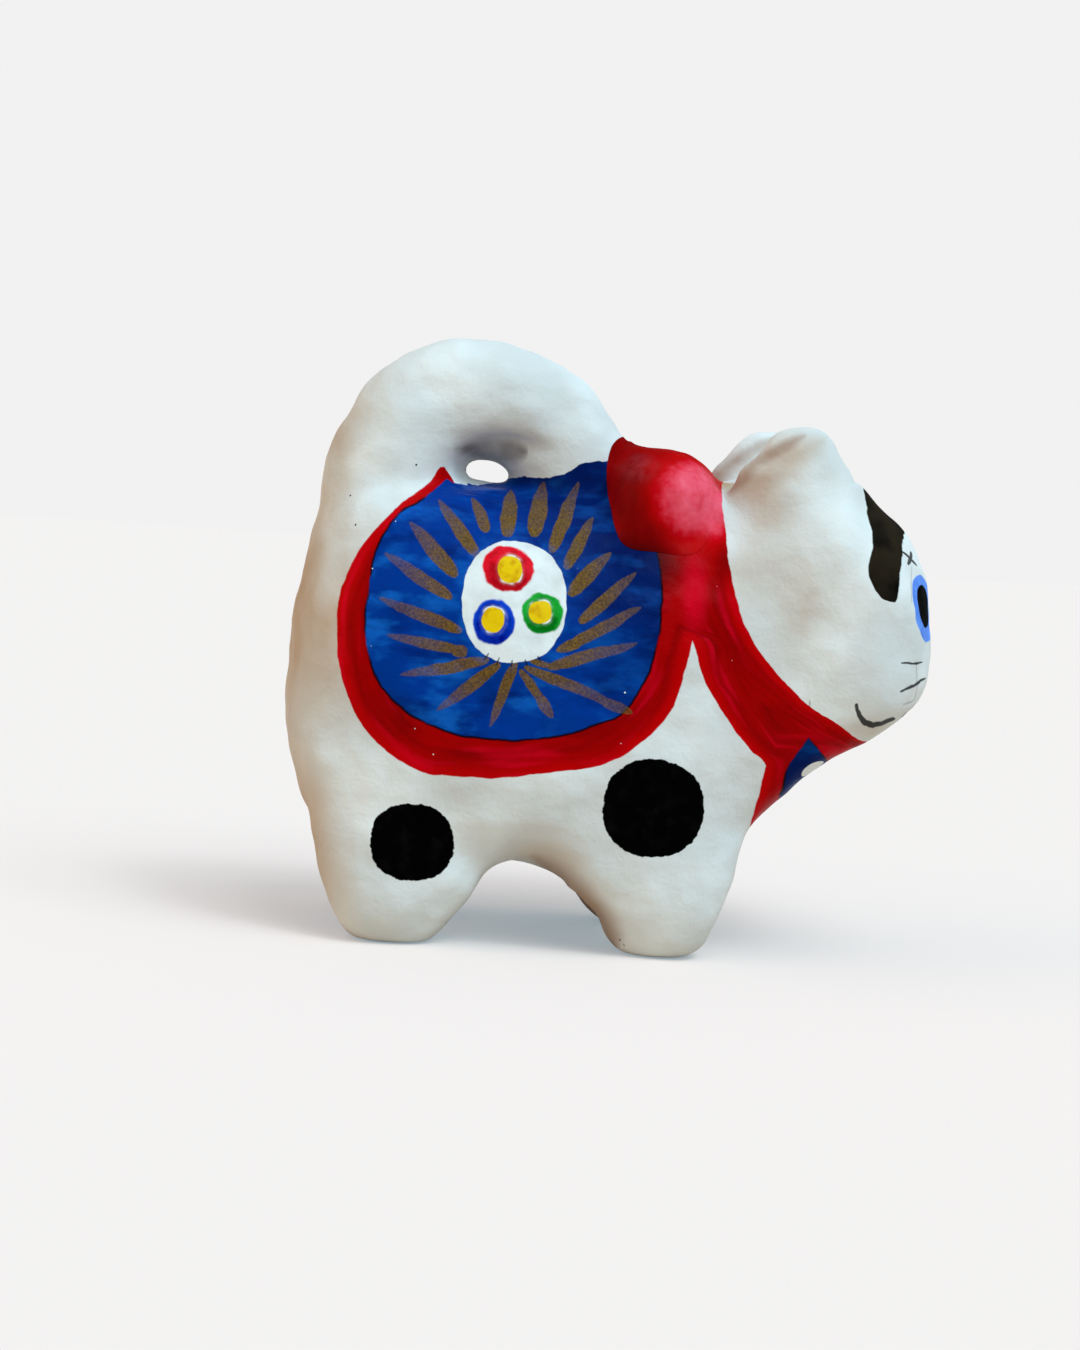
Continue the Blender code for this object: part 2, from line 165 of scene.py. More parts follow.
# Painted outlines on the flank, in millimetres on an upright plane through the dog's middle: u along the
# dog, v up from the floor. They are carried to the dog's sides along lines from one fixed eye point. The
# saddle cloth and its border are given as angle in degrees and radius about the medallion.
MEDALLION_CENTRE = (-16.9, 57.0)
MEDALLION_RADII = (9.2, 10.5)
OVAL_SQUARENESS = 2.2
SADDLE_EDGE = (
    (0, 25.6), (20, 26.0), (35, 30.0), (50, 37.0), (90, 37.0), (108, 28.5), (123, 24.3), (134, 23.8),
    (146, 25.1), (158, 25.5), (179, 25.4), (198, 26.6), (215, 27.2), (227, 27.0), (239, 25.9), (252, 25.0),
    (268, 24.1), (284, 24.1), (300, 25.0), (312, 26.2), (319, 27.0), (327, 26.6), (338, 26.3), (350, 25.8),
    (360, 25.6),
)
BORDER_EDGE = (
    (0, 34.0), (20, 34.0), (40, 24.0), (70, 14.0), (114, 14.0), (119.6, 19.0), (121.4, 26.6), (130, 25.3),
    (145, 26.0), (158, 27.3), (171, 29.0), (184, 30.5), (197, 31.5), (212, 33.0), (228, 34.1), (241, 34.0),
    (254, 32.2), (269, 30.7), (286, 30.4), (302, 32.0), (315, 33.0), (326, 33.2), (336, 32.5), (348, 31.6),
    (354, 31.8), (360, 34.0),
)
SADDLE_TOP = (
    (-34.0, 78.5), (-29.8, 77.4), (-27.2, 76.7), (-23.8, 77.0), (-19.8, 78.1), (-16.7, 78.7), (-13.6, 78.7),
    (-10.9, 79.3), (-8.6, 80.5), (-7.0, 81.6), (-3.2, 82.3), (4.0, 83.0),
)

# Gold rays: outer end, inner end and greatest width. Their width follows a profile, as shares of length and
# width. Blobs are short strokes where the gold has pooled or run on.
GOLD_RAYS = (
    ((-31.3, 73.7), (-23.5, 64.2), 2.3),
    ((-25.5, 74.5), (-22.3, 68.5), 2.1),
    ((-18.8, 76.3), (-18.9, 68.1), 3.0),
    ((-13.2, 78.1), (-14.3, 68.4), 3.0),
    ((-7.4, 78.5), (-11.0, 66.0), 2.4),
    ((-4.4, 72.5), (-8.4, 63.3), 2.3),
    ((-0.9, 66.6), (-7.5, 58.8), 2.7),
    ((3.8, 63.6), (-5.5, 54.1), 2.3),
    ((5.2, 57.6), (-7.5, 49.6), 2.2),
    ((5.1, 51.4), (-10.3, 46.0), 2.3),
    ((3.9, 39.5), (-14.3, 45.9), 2.0),
    ((-9.4, 38.2), (-15.0, 45.3), 1.7),
    ((-19.8, 35.0), (-15.7, 46.6), 1.9),
    ((-29.1, 37.1), (-18.4, 46.2), 2.2),
    ((-35.8, 42.8), (-20.4, 46.7), 2.2),
    ((-38.7, 49.7), (-25.5, 47.9), 2.0),
    ((-40.5, 56.2), (-25.7, 51.1), 2.2),
    ((-40.0, 63.8), (-27.9, 56.8), 2.4),
    ((-36.0, 69.6), (-27.1, 60.6), 2.7),
)
RAY_PROFILE = (
    (0.0, 0.0), (0.06, 0.35), (0.28, 0.8), (0.52, 1.0), (0.78, 0.92), (0.93, 0.66), (1.0, 0.0),
)
RAY_BLOBS = (
    ((-27.5, 47.9), (-24.4, 47.6), 2.2),
    ((4.9, 39.1), (-0.6, 41.0), 1.9),
    ((-8.8, 37.4), (-11.6, 41.0), 2.0),
    ((-9.0, 49.1), (-5.0, 50.8), 2.0),
    ((-13.9, 47.3), (-9.2, 46.2), 1.2),
)

# Ring flowers in the medallion: ring centre, ring radii, eye centre, eye radii.
RED_FLOWER = ((-18.3, 62.6), (4.45, 4.05), (-17.9, 62.5), (2.1, 2.4))
BLUE_FLOWER = ((-20.2, 53.2), (3.7, 3.95), (-20.3, 53.6), (2.0, 2.1))
GREEN_FLOWER = ((-11.9, 55.2), (3.65, 3.6), (-12.3, 55.4), (2.0, 2.0))

# Collar: its rear and front edge, as v and u, from the throat to the nape.
COLLAR_REAR = (
    (30.0, 29.0), (31.8, 28.4), (34.2, 25.7), (37.5, 22.8), (42.4, 19.0), (47.4, 16.0), (52.5, 14.3),
    (55.0, 9.0), (60.0, 5.0), (90.0, 5.0),
)
COLLAR_FRONT = (
    (30.0, 60.0), (36.6, 47.0), (37.6, 44.2), (40.1, 40.0), (41.9, 36.4), (45.4, 31.8), (49.2, 28.1),
    (54.1, 24.3), (59.1, 21.8), (65.1, 20.0), (71.9, 18.7), (77.1, 17.9), (80.9, 17.7), (90.0, 17.5),
)
COLLAR_FOOT = 30.0

# Bib under the chin. On the flank the rear edges of its red band and blue field are given as v and u, and
# the field's top edge slopes down from a corner. On the chest, which lies between the flanks, the band and
# field start at these x and end at these heights.
BAND_REAR = ((20.0, 26.7), (22.0, 26.9), (27.0, 27.7), (31.2, 28.5), (36.0, 29.5))
FIELD_REAR = (
    (22.0, 31.0), (26.5, 31.3), (27.9, 31.8), (31.2, 32.2), (33.9, 33.6), (37.1, 35.6), (40.0, 37.5),
)
FIELD_CORNER = (35.6, 37.1)
FIELD_TOP_SLOPE = 1.1
CHEST_SIDE = (16.8, 15.8)
BIB_REAR_X = 10.0
BIB_BAND_X = 24.6
BIB_FIELD_X = 28.9
BIB_BAND_FOOT = 22.0
BIB_BAND_TOP = 40.0
BIB_FIELD_FOOT = 26.7
BIB_FIELD_TOP = 36.2
BIB_SIDE_DOT = (33.1, -20.2, 33.7)
BIB_FRONT_DOTS = ((12.5, 31.0), (4.2, 34.5))
BIB_DOT_RADIUS = 2.2
BIB_DOT_TOP = (41.0, 40.0)
BIB_DOT_REAR = (BIB_FIELD_X, BIB_FIELD_X + 0.5)

# Face as set out on the flank: the rear and front edges of the brow patch as v and u, and thin brush lines,
# as ends and width.
BROW_REAR = (
    (61.4, 49.0), (61.9, 47.3), (62.8, 45.9), (64.5, 44.7), (66.8, 43.9), (72.0, 44.3), (76.3, 43.2),
    (80.6, 42.1), (86.0, 40.4),
)
BROW_FRONT = ((61.4, 48.8), (61.7, 49.2), (63.0, 49.4), (72.0, 49.5), (86.0, 49.8))
BROW_FOOT_V = 61.5
BROW_INNER_SIDE = 11.0
BROW_CORNER_ROUNDING = 1.6
WHISKERS = (
    ((50.7, 51.2), (54.5, 51.4), 0.4),
    ((50.9, 46.1), (55.2, 48.7), 0.45),
)
PENCIL_LINES = (
    ((51.3, 67.9), (51.8, 61.5), 0.22),
    ((53.2, 51.8), (53.8, 46.6), 0.2),
    ((53.8, 46.8), (53.4, 44.8), 0.25),
    ((53.6, 45.0), (51.6, 44.0), 0.35),
)
MOUTH_CORNER = (
    ((43.6, 43.6), (43.9, 41.6), 0.7),
    ((43.7, 42.6), (44.6, 40.8), 0.9),
    ((44.1, 41.6), (45.6, 40.1), 1.1),
    ((44.9, 40.6), (47.1, 40.0), 1.1),
    ((46.0, 40.0), (48.4, 40.6), 0.9),
    ((47.3, 40.2), (50.4, 41.6), 0.7),
)

# Face as set out from the front: distance from the middle and height. Where one plane's lines would smear
# round the face, they fade by the distance from the middle.
FACE_START_X = (36.0, 38.0)
WHISKER_SIDE = (13.5, 15.0)
MOUTH_CORNER_SIDE = (15.5, 17.5)
MOUTH_FRONT_SIDE = (21.5, 20.0)
EYE_RIM = ((17.2, 61.2), (7.0, 5.6))
EYE_PUPIL = ((17.5, 61.6), (4.9, 3.6))
LASHES = (
    ((16.8, 70.5), (21.6, 68.5), 0.75),
    ((17.6, 68.2), (21.2, 70.7), 0.75),
)
NOSE = ((0.0, 53.6), (4.4, 2.8))
MOUTH_FRONT = (
    ((-0.5, 47.2), (0.5, 51.4), 0.9),
    ((-0.5, 47.8), (7.0, 44.2), 0.9),
    ((6.4, 44.3), (15.0, 43.6), 0.9),
    ((14.0, 43.5), (23.5, 43.4), 0.8),
)
LINE_PROFILE = ((0.0, 0.0), (0.07, 0.7), (0.5, 1.0), (0.93, 0.7), (1.0, 0.0))

# Small brush ticks at the foot of the medallion.
TICKS = (
    ((-20.6, 47.9), (-21.3, 46.5), 0.35),
    ((-18.6, 47.2), (-19.0, 45.9), 0.35),
    ((-16.4, 46.9), (-16.4, 45.6), 0.35),
    ((-14.3, 47.2), (-13.8, 46.0), 0.35),
    ((-12.2, 48.0), (-11.4, 46.9), 0.35),
)

# Leg spots: centre and radii, and the distance from the middle where they fade, so that the legs
# stay white on their inner sides.
SPOT_SIDE = (17.5, 19.0)
HIND_SPOT = ((-31.6, 14.2), (7.3, 6.7))
FRONT_SPOT = ((9.6, 23.0), (8.75, 8.55))

# Studio: a wide soft window from the upper right with one bright pane, a pale ceiling, a warm wall on the
# left, a dim room, and a pale floor and backdrop.
WINDOW_DIRECTION = (0.4, -0.5, 0.9)
WINDOW_COLOUR = (0.69, 0.97, 1.16)
WINDOW_STRENGTH = 1.85
WINDOW_SPREAD = math.radians(45.0)
PANE_STRENGTH = 0.55
PANE_SPREAD = math.radians(12.0)
CEILING_DIRECTION = (0.1, -0.1, 1.0)
CEILING_COLOUR = (0.8, 0.98, 1.1)
CEILING_STRENGTH = 0.9
CEILING_SPREAD = math.radians(110.0)
WALL_DIRECTION = (-0.95, -0.18, 0.12)
WALL_COLOUR = (1.0, 0.68, 0.4)
WALL_STRENGTH = 1.3
WALL_SPREAD = math.radians(60.0)
ROOM_LIGHT = (0.27, 0.26, 0.25)
BACKDROP = 0.885
FLOOR_COLOUR = (0.66, 0.48, 0.403)
FLOOR_BOUNCE = (0.76, 0.61, 0.5)
FLOOR_GLOW = (0.24, 0.32, 0.36)
FLOOR_HALF_SIZE = 3.0
FLOOR_SEGMENTS = 4


# Colours of the paints, written as a screen shows them, and their gloss.
SCREEN_FULL = 255
SCREEN_GAMMA = 2.2


def screen(red, green, blue):
    """A colour as a screen shows it, as the linear colour that a shader takes."""
    return tuple((value / SCREEN_FULL) ** SCREEN_GAMMA for value in (red, green, blue))


COAT_GLOSS = 0.018
KNOT_GLOSS = 0.03
DULL_ROUGHNESS = 0.95
CHALK_WHITE = screen(222, 226, 223)
CHALK_GREY = screen(206, 208, 204)
# Painted shade in tan and brown, and a dark grey for both the painted shade in the tail's hollow and the
# hairs.
PAINTED_SHADE_TAN = screen(172, 138, 102)
PAINTED_SHADE_BROWN = screen(146, 112, 86)
SHADE_AND_HAIR_GREY = screen(92, 86, 88)
SADDLE_BLUE = screen(3, 53, 132)
SADDLE_LIGHT = screen(22, 92, 178)
SADDLE_DARK = screen(2, 37, 102)
SADDLE_DEEP = screen(3, 20, 66)
BORDER_RED = screen(180, 0, 10)
BORDER_DARK = screen(120, 0, 3)
# Bright red for painted sheen and highlights, deep red for painted shade at the knot's foot, a greyish rub,
# and pink for the painted highlight on the knot.
SHEEN_RED = screen(212, 10, 40)
KNOT_SHADE_RED = screen(50, 0, 2)
RUBBED_RED = screen(150, 66, 74)
HIGHLIGHT_PINK = screen(240, 104, 124)
GOLD = screen(124, 94, 44)
GOLD_DARK = screen(84, 64, 38)
FLOWER_RED = screen(222, 24, 42)
FLOWER_DARK_RED = screen(166, 10, 24)
FLOWER_BLUE = screen(18, 66, 190)
FLOWER_DARK_BLUE = screen(2, 22, 128)
FLOWER_GREEN = screen(28, 156, 48)
FLOWER_DARK_GREEN = screen(8, 104, 26)
FLOWER_YELLOW = screen(226, 188, 20)
FLOWER_AMBER = screen(200, 146, 16)
INK_BLACK = screen(3, 3, 2)
INK_GREY = screen(16, 16, 15)
INK_BROWN = screen(42, 36, 28)
EYE_BLUE = screen(100, 148, 238)
EYE_DEEP_BLUE = screen(84, 128, 216)

# Noise: its mean, its detail where none is named, its stretches along x, y and z, and the least size of a
# speck and the softness of its edge.
NOISE_MEAN = 0.5
PLAIN_DETAIL = 2.0
EVEN = (1.0, 1.0, 1.0)
UPRIGHT_HAIRS = (1.0, 1.0, 0.12)
LEVEL_HAIRS = (0.12, 1.0, 1.0)
UPRIGHT_STREAKS = (1.3, 1.0, 0.4)
LEVEL_STREAKS = (0.55, 1.0, 1.3)
BAND_STREAK_STRETCH = 0.14
LEAST_SPECK = 0.2
SPECK_SOFTNESS = 0.4

# The paint's settings, from here on. A cloud is given as size in millimetres, seed, detail and stretch; a
# tone, a mask of blotches, as size, seed, the noise where a blotch starts and is full, detail and stretch;
# specks as spacing, radius, share of the places that have one, seed and stretch. An edge is the depth
# inside an outline where paint starts and is full, and a reach is the same for a rounded space, from 0 at
# its rim to 1 at its centre.
CRISP_EDGE = (-0.1, 0.1)
BRUSH_EDGE = (-0.12, 0.12)

# Wobble of a hand-held brush.
FLANK_WOBBLE = 0.9
FLANK_FINE_WOBBLE = 0.36
FLANK_CLOUD_U = (7.0, 0.13)
FLANK_FINE_CLOUD_U = (1.6, 0.31)
FLANK_CLOUD_V = (7.0, 0.57)
FLANK_FINE_CLOUD_V = (1.6, 0.77)
FRONT_WOBBLE = 0.6
FRONT_CLOUD_U = (5.0, 1.13)
FRONT_CLOUD_V = (5.0, 1.57)

# Chalk ground, and the painted shade on it.
CHALK_TONE = (16.0, 0.9, -0.12, 0.16)
PAINTED_SHADE_CLOUD = (9.0, 1.7)
PAINTED_SHADE_UNEVENNESS = 0.6
TAIL_HOLLOW_SHADE_EDGE = (-0.4, 2.0)
TAIL_HOLLOW_SHADE_FRONT_X = (-8.0, -12.0)
TAIL_HOLLOW_SHADE_CLOUD = (4.0, 3.5, 3.0)
TAIL_HOLLOW_SHADE_UNEVENNESS = 0.9
TAIL_HOLLOW_SHADE_STRENGTH = 0.58
EAR_SIDE = (10.0, 13.0)
EAR_SHADE_EDGE = (-2.0, 2.6)
EAR_SHADE_STRENGTH = 0.45
RIDGE_SHADE_EDGE = (-0.7, 0.9)
RIDGE_SHADE_STRENGTH = 0.55
LEG_SHADE_EDGE = (-0.6, 3.2)
LEG_SHADE_STRENGTH = 0.75
INK_SPECKS = (5.0, 0.26, 0.4, 2.2)
HAIR_SPECKS = (
    (4.0, 0.3, 0.3, 2.6, UPRIGHT_HAIRS),
    (5.0, 0.3, 0.3, 2.8, LEVEL_HAIRS),
)
HAIR_STRENGTH = 0.5
CHALK_ROUGHNESS = 0.5
CHALK_ROUGHNESS_SPAN = 0.2
CHALK_ROUGHNESS_CLOUD = (3.0, 3.9)
CHALK_BRUSH_HEIGHT = 0.22
CHALK_BRUSH_CLOUD = (2.4, 2.9, 3.0)
CHALK_GRAIN_HEIGHT = 0.05
CHALK_GRAIN_CLOUD = (0.7, 3.3)

# Red of the knot, with a painted pink highlight and painted sheen on its crown and painted shade at its
# foot.
CROWN_REACH = (-0.1, 0.7)
KNOT_STREAK_CLOUD = (4.0, 10.1, 3.0, UPRIGHT_STREAKS)
KNOT_STREAK_STRENGTH = 0.9
KNOT_BASE_RED = 0.1
KNOT_FORWARD_RED = 0.65
KNOT_FORWARD_X = (0.0, 9.0)
KNOT_BELOW_DARK = 0.7
KNOT_BELOW_X = (12.0, 16.5)
KNOT_BELOW_Z = (74.0, 66.0)
KNOT_SHEEN_REACH = (0.3, 1.0)
KNOT_SHADE_REACH = (0.0, 0.8)
KNOT_SHADE_STRENGTH = 0.9
KNOT_HIGHLIGHT_STREAKS = 0.4
KNOT_HIGHLIGHT_CLOUD = (1.4, 10.4, 3.0)
KNOT_HIGHLIGHT_UNEVENNESS = 0.5
KNOT_HIGHLIGHT_REACH = (0.45, 1.4)
KNOT_RUB_REACH = (0.0, 0.8)
KNOT_RUB_TONE = (2.0, 10.5, -0.2, 0.2, 4.0)
KNOT_RUB_STRENGTH = 0.3
KNOT_ROUGHNESS = 0.45
KNOT_ROUGHNESS_SPAN = 0.3
KNOT_ROUGHNESS_CLOUD = (3.0, 10.9)
KNOT_DULL_TOP_Z = (79.0, 84.0)
KNOT_DULL_SHADE_REACH = (0.0, 0.5)
KNOT_BRUSH_HEIGHT = 0.14
KNOT_BRUSH_CLOUD = (2.6, 10.3, 3.0)
KNOT_GRAIN_HEIGHT = 0.03
KNOT_GRAIN_CLOUD = (0.8, 10.7)

# Red of the border, collar and bib band, with painted sheen in bright streaks and a painted highlight streak
# below the knot.
BAND_MIDDLE = (0.4, 3.2)
BAND_DARK = 0.45
BAND_STREAK_DARK = 0.42
BAND_STREAKS = (1.9, 4.1, -0.2, 0.25, 1.0, EVEN)
BAND_SHEEN = 0.7
BAND_SHEEN_STREAKS = (2.0, 4.7, 0.02, 0.34, 1.0, EVEN)
KNOT_SURROUND_REACH = (0.0, 0.35)
COLLAR_HIGHLIGHT_REACH = (0.0, 0.8)
COLLAR_HIGHLIGHT_STRENGTH = 0.6

# Blue of the saddle cloth, by a distance along u plus a share of v.
TOWARD_NAPE_V = 0.8
SADDLE_TONE = (6.0, 5.3, -0.2, 0.05, 3.0, LEVEL_STREAKS)
SADDLE_DEEP_REACH = (28.0, 58.0)
SADDLE_DEEP_STRENGTH = 0.8
SADDLE_STROKES = (4.5, 5.9, -0.04, 0.2, 4.0, LEVEL_STREAKS)
SADDLE_STROKE_REACH = (50.0, 4.0)
SADDLE_STROKE_REAR = 0.6
SADDLE_STROKE_BASE = 0.3

# Edges of the saddle cloth and border, the thin black line between them, and chalk specks on the paint.
SADDLE_TOP_CLOUD = (1.7, 5.1)
SADDLE_TOP_WOBBLE = 0.9
BORDER_ABOVE_SADDLE = 2.2
BAND_MERGING = 2.5
EDGE_LINE_HALF = 0.3
EDGE_LINE_SOFT = (0.0, 0.2)
EDGE_LINE_BELOW_TOP = (0.8, 1.3)
EDGE_LINE_TONE = (9.0, 6.7, -0.2, 0.0)
EDGE_LINE_STRENGTH = 0.9
PAINTED_EDGE = (0.0, 0.5)
CHALK_SPECKS = (3.0, 0.19, 0.6, 7.1)
PAINT_SMOOTHNESS = 0.14

# Gold of the rays, fuller toward the medallion.
RAY_EDGE = (-0.08, 0.14)
RAY_NEAR_EDGE = (-13.0, -3.0)
RAY_NEAR_STRENGTH = 0.4
RAY_BASE_STRENGTH = 0.42
RAY_GRAIN_TONE = (0.34, 7.7, -0.25, 0.0)
RAY_GRAIN_STRENGTH = 0.15
RAY_CLOUD = (3.0, 7.9)
RAY_UNEVENNESS = 0.4
GOLD_TONE = (0.36, 8.3, -0.2, 0.3)

# Medallion and its flowers.
MEDALLION_CLOUD = (3.5, 8.7)
MEDALLION_WOBBLE = 0.8
MEDALLION_TONE = (5.0, 8.9, -0.2, 0.1)
HALO_EDGE = (-2.2, -0.2)
HALO_TONE = (4.0, 8.1, -0.05, 0.2)
HALO_STRENGTH = 0.55
RING_EDGE = (-0.12, 0.3)
RING_CLOUD = (2.2, 9.3)
RING_WOBBLE = 0.9
RING_DARK_EDGE = (0.1, 1.0)
RING_DARK_TONE = (2.0, 9.1, -0.2, 0.2)
RING_DARK_STRENGTH = 0.8
RING_DARK_BASE = 0.05
POOL_BELOW = (-1.0, 4.5)
POOL_STRENGTH = 0.8
PALE_RIM_TONE = (2.4, 9.7, -0.06, 0.16)
PALE_HAZE_EDGE = (-0.75, -0.05)
PALE_HAZE_STRENGTH = 0.3
PALE_HAZE_BASE = 0.04
PALE_RIM_EDGE = (-0.28, -0.16)
YELLOW_TONE = (1.8, 9.9, -0.05, 0.25)
FLOWERS = (
    (RED_FLOWER, FLOWER_DARK_RED, FLOWER_RED),
    (BLUE_FLOWER, FLOWER_DARK_BLUE, FLOWER_BLUE),
    (GREEN_FLOWER, FLOWER_DARK_GREEN, FLOWER_GREEN),
)
TICK_EDGE = (-0.06, 0.06)
TICK_STRENGTH = 0.7

# Ink of the spots and the face.
INK_TONE = (2.5, 6.1, -0.05, 0.3, 3.0)
SPOT_CLOUD = (1.0, 6.3)
SPOT_WOBBLE = 0.7
BROW_TONE = (6.0, 11.9, -0.2, 0.2)
BROW_INNER_CLOUD = (6.0, 11.3)
BROW_INNER_WOBBLE = 3.0
IRIS_TONE = (2.0, 12.1, -0.2, 0.2)
FACE_LINE_STRENGTH = 0.92
PENCIL_STRENGTH = 0.3


def set_camera():
    """The photograph's camera."""
    camera = bpy.data.objects.new("camera", bpy.data.cameras.new("camera"))
    bpy.context.scene.collection.objects.link(camera)
    bpy.context.scene.camera = camera
    pixels_of_focus = VIEW_DISTANCE / (IMAGE_MM_PER_PIXEL * MM)
    camera.data.sensor_width = SENSOR_MM
    camera.data.lens = SENSOR_MM * pixels_of_focus / IMAGE_LONG_SIDE
    camera.data.clip_start = CLIP_START
    turned = Matrix((ROLLED_RIGHT, ROLLED_UP, VIEW_BACK)).transposed().to_4x4()
    camera.matrix_world = Matrix.Translation(EYE_PLACE) @ turned


def new_object(name, mesh):
    obj = bpy.data.objects.new(name, mesh)
    bpy.context.scene.collection.objects.link(obj)
    return obj


def mesh_from(form, name):
    mesh = bpy.data.meshes.new(name)
    form.to_mesh(mesh)
    form.free()
    return mesh


def with_modifiers(mesh, *settings):
    """A mesh after a row of modifiers, each given as its type and its values."""
    obj = new_object("in_work", mesh)
    for kind, values in settings:
        modifier = obj.modifiers.new(kind.lower(), kind)
        for name, value in values.items():
            setattr(modifier, name, value)
    graph = bpy.context.evaluated_depsgraph_get()
    made = bpy.data.meshes.new_from_object(obj.evaluated_get(graph))
    bpy.data.objects.remove(obj)
    return made


def joined_nodes(names):
    """One welded mesh of some of the paper pieces."""
    form = bmesh.new()
    for name in names:
        form.from_mesh(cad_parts[name].data)
    bmesh.ops.remove_doubles(form, verts=form.verts, dist=WELD)
    return mesh_from(form, "joined")


def outermost(mesh):
    """Drops every shell of a mesh but the one with the most vertices."""
    form = bmesh.new()
    form.from_mesh(mesh)
    unseen = set(form.verts)
    shells = []
    while unseen:
        shell = [unseen.pop()]
        for vert in shell:
            for edge in vert.link_edges:
                other = edge.other_vert(vert)
                if other in unseen:
                    unseen.remove(other)
                    shell.append(other)
        shells.append(shell)
    shells.sort(key=len)
    for shell in shells[:-1]:
        bmesh.ops.delete(form, geom=shell, context="VERTS")
    return mesh_from(form, "outermost")


def skin_over(names):
    """One soft closed skin over some of the paper pieces, with the paste gaps between them bridged."""
    bridge = ("DISPLACE", {"strength": GAP_BRIDGE, "mid_level": 0.0})
    remesh = ("REMESH", {"mode": "VOXEL", "voxel_size": SKIN_GRID})
    settle = ("DISPLACE", {"strength": -GAP_BRIDGE, "mid_level": 0.0})
    ease = ("SMOOTH", {"factor": EASING_SHARE, "iterations": SKIN_EASING})
    bridged = outermost(with_modifiers(joined_nodes(names), bridge, remesh))
    return with_modifiers(bridged, ease, settle)


def radii_away(place, centre, radii):
    """How far a place is from a centre, in radii and squared, alike on both sides of the dog."""
    x = (place.x - centre[0]) / radii[0]
    y = (abs(place.y) + centre[1]) / radii[1]
    z = (place.z - centre[2]) / radii[2]
    return x * x + y * y + z * z


def press_by_hand(mesh):
    """Gives a skin the soft lumps and dents of pasted paper. Its soles stay flat."""
    normals = [vert.normal.copy() for vert in mesh.vertices]
    for vert, normal in zip(mesh.vertices, normals):
        place = vert.co / MM
        swell = 0.0
        for size, height in LUMPS:
            swell += height * noise.noise(place / size)
        for centre, radii, height in DENTS:
            swell += height * math.exp(-radii_away(place, centre, radii))
        off_floor = min(1.0, max(0.0, (place.z - SOLE_TOP) / SOLE_FADE))
        vert.co += normal * swell * off_floor * MM


def ease_places(mesh):
    """Smooths the skin over once more at some places."""
    form = bmesh.new()
    form.from_mesh(mesh)
    for centre, radii, rounds in EASED_PLACES:
        near = [vert for vert in form.verts if radii_away(vert.co / MM, centre, radii) < 1.0]
        for _ in range(rounds):
            bmesh.ops.smooth_vert(
                form, verts=near, factor=EASING_SHARE, use_axis_x=True, use_axis_y=True, use_axis_z=True)
    form.to_mesh(mesh)
    form.free()


def rounded_power(value, power):
    return math.copysign(abs(value) ** power, value)


def knot_form():
    """A rounded roll across the nape."""
    form = bmesh.new()
    bmesh.ops.create_uvsphere(
        form, u_segments=KNOT_SEGMENTS_AROUND, v_segments=KNOT_SEGMENTS_ALONG, radius=1.0)
    for vert in form.verts:
        height = max(-1.0, min(1.0, vert.co.z))
        around = max(TINY_RADIUS, math.hypot(vert.co.x, vert.co.y))
        reach = rounded_power(height, 2 / KNOT_SQUARENESS)
        thickness = max(0.0, 1 - abs(reach) ** KNOT_SQUARENESS) ** (1 / KNOT_SQUARENESS)
        along = rounded_power(vert.co.x / around, 2 / KNOT_SECTION_SQUARENESS)
        up = rounded_power(-vert.co.y / around, 2 / KNOT_SECTION_SQUARENESS)
        roll = Vector((thickness * along, reach, thickness * up))
        vert.co = KNOT_CENTRE + KNOT_RADII * roll
    bmesh.ops.remove_doubles(form, verts=form.verts, dist=KNOT_WELD)
    bmesh.ops.recalc_face_normals(form, faces=form.faces)
    return mesh_from(form, "knot_form")


def knot_wad(skin):
    """The part of a raised copy of the skin that lies within the knot's form."""
    form = new_object("knot_form", knot_form())
    raise_skin = ("DISPLACE", {"strength": KNOT_RAISE, "mid_level": 0.0})
    keep_common = ("BOOLEAN", {"object": form, "operation": "INTERSECT", "solver": "EXACT"})
    wad = with_modifiers(skin.copy(), raise_skin, keep_common)
    bpy.data.objects.remove(form)
    return wad


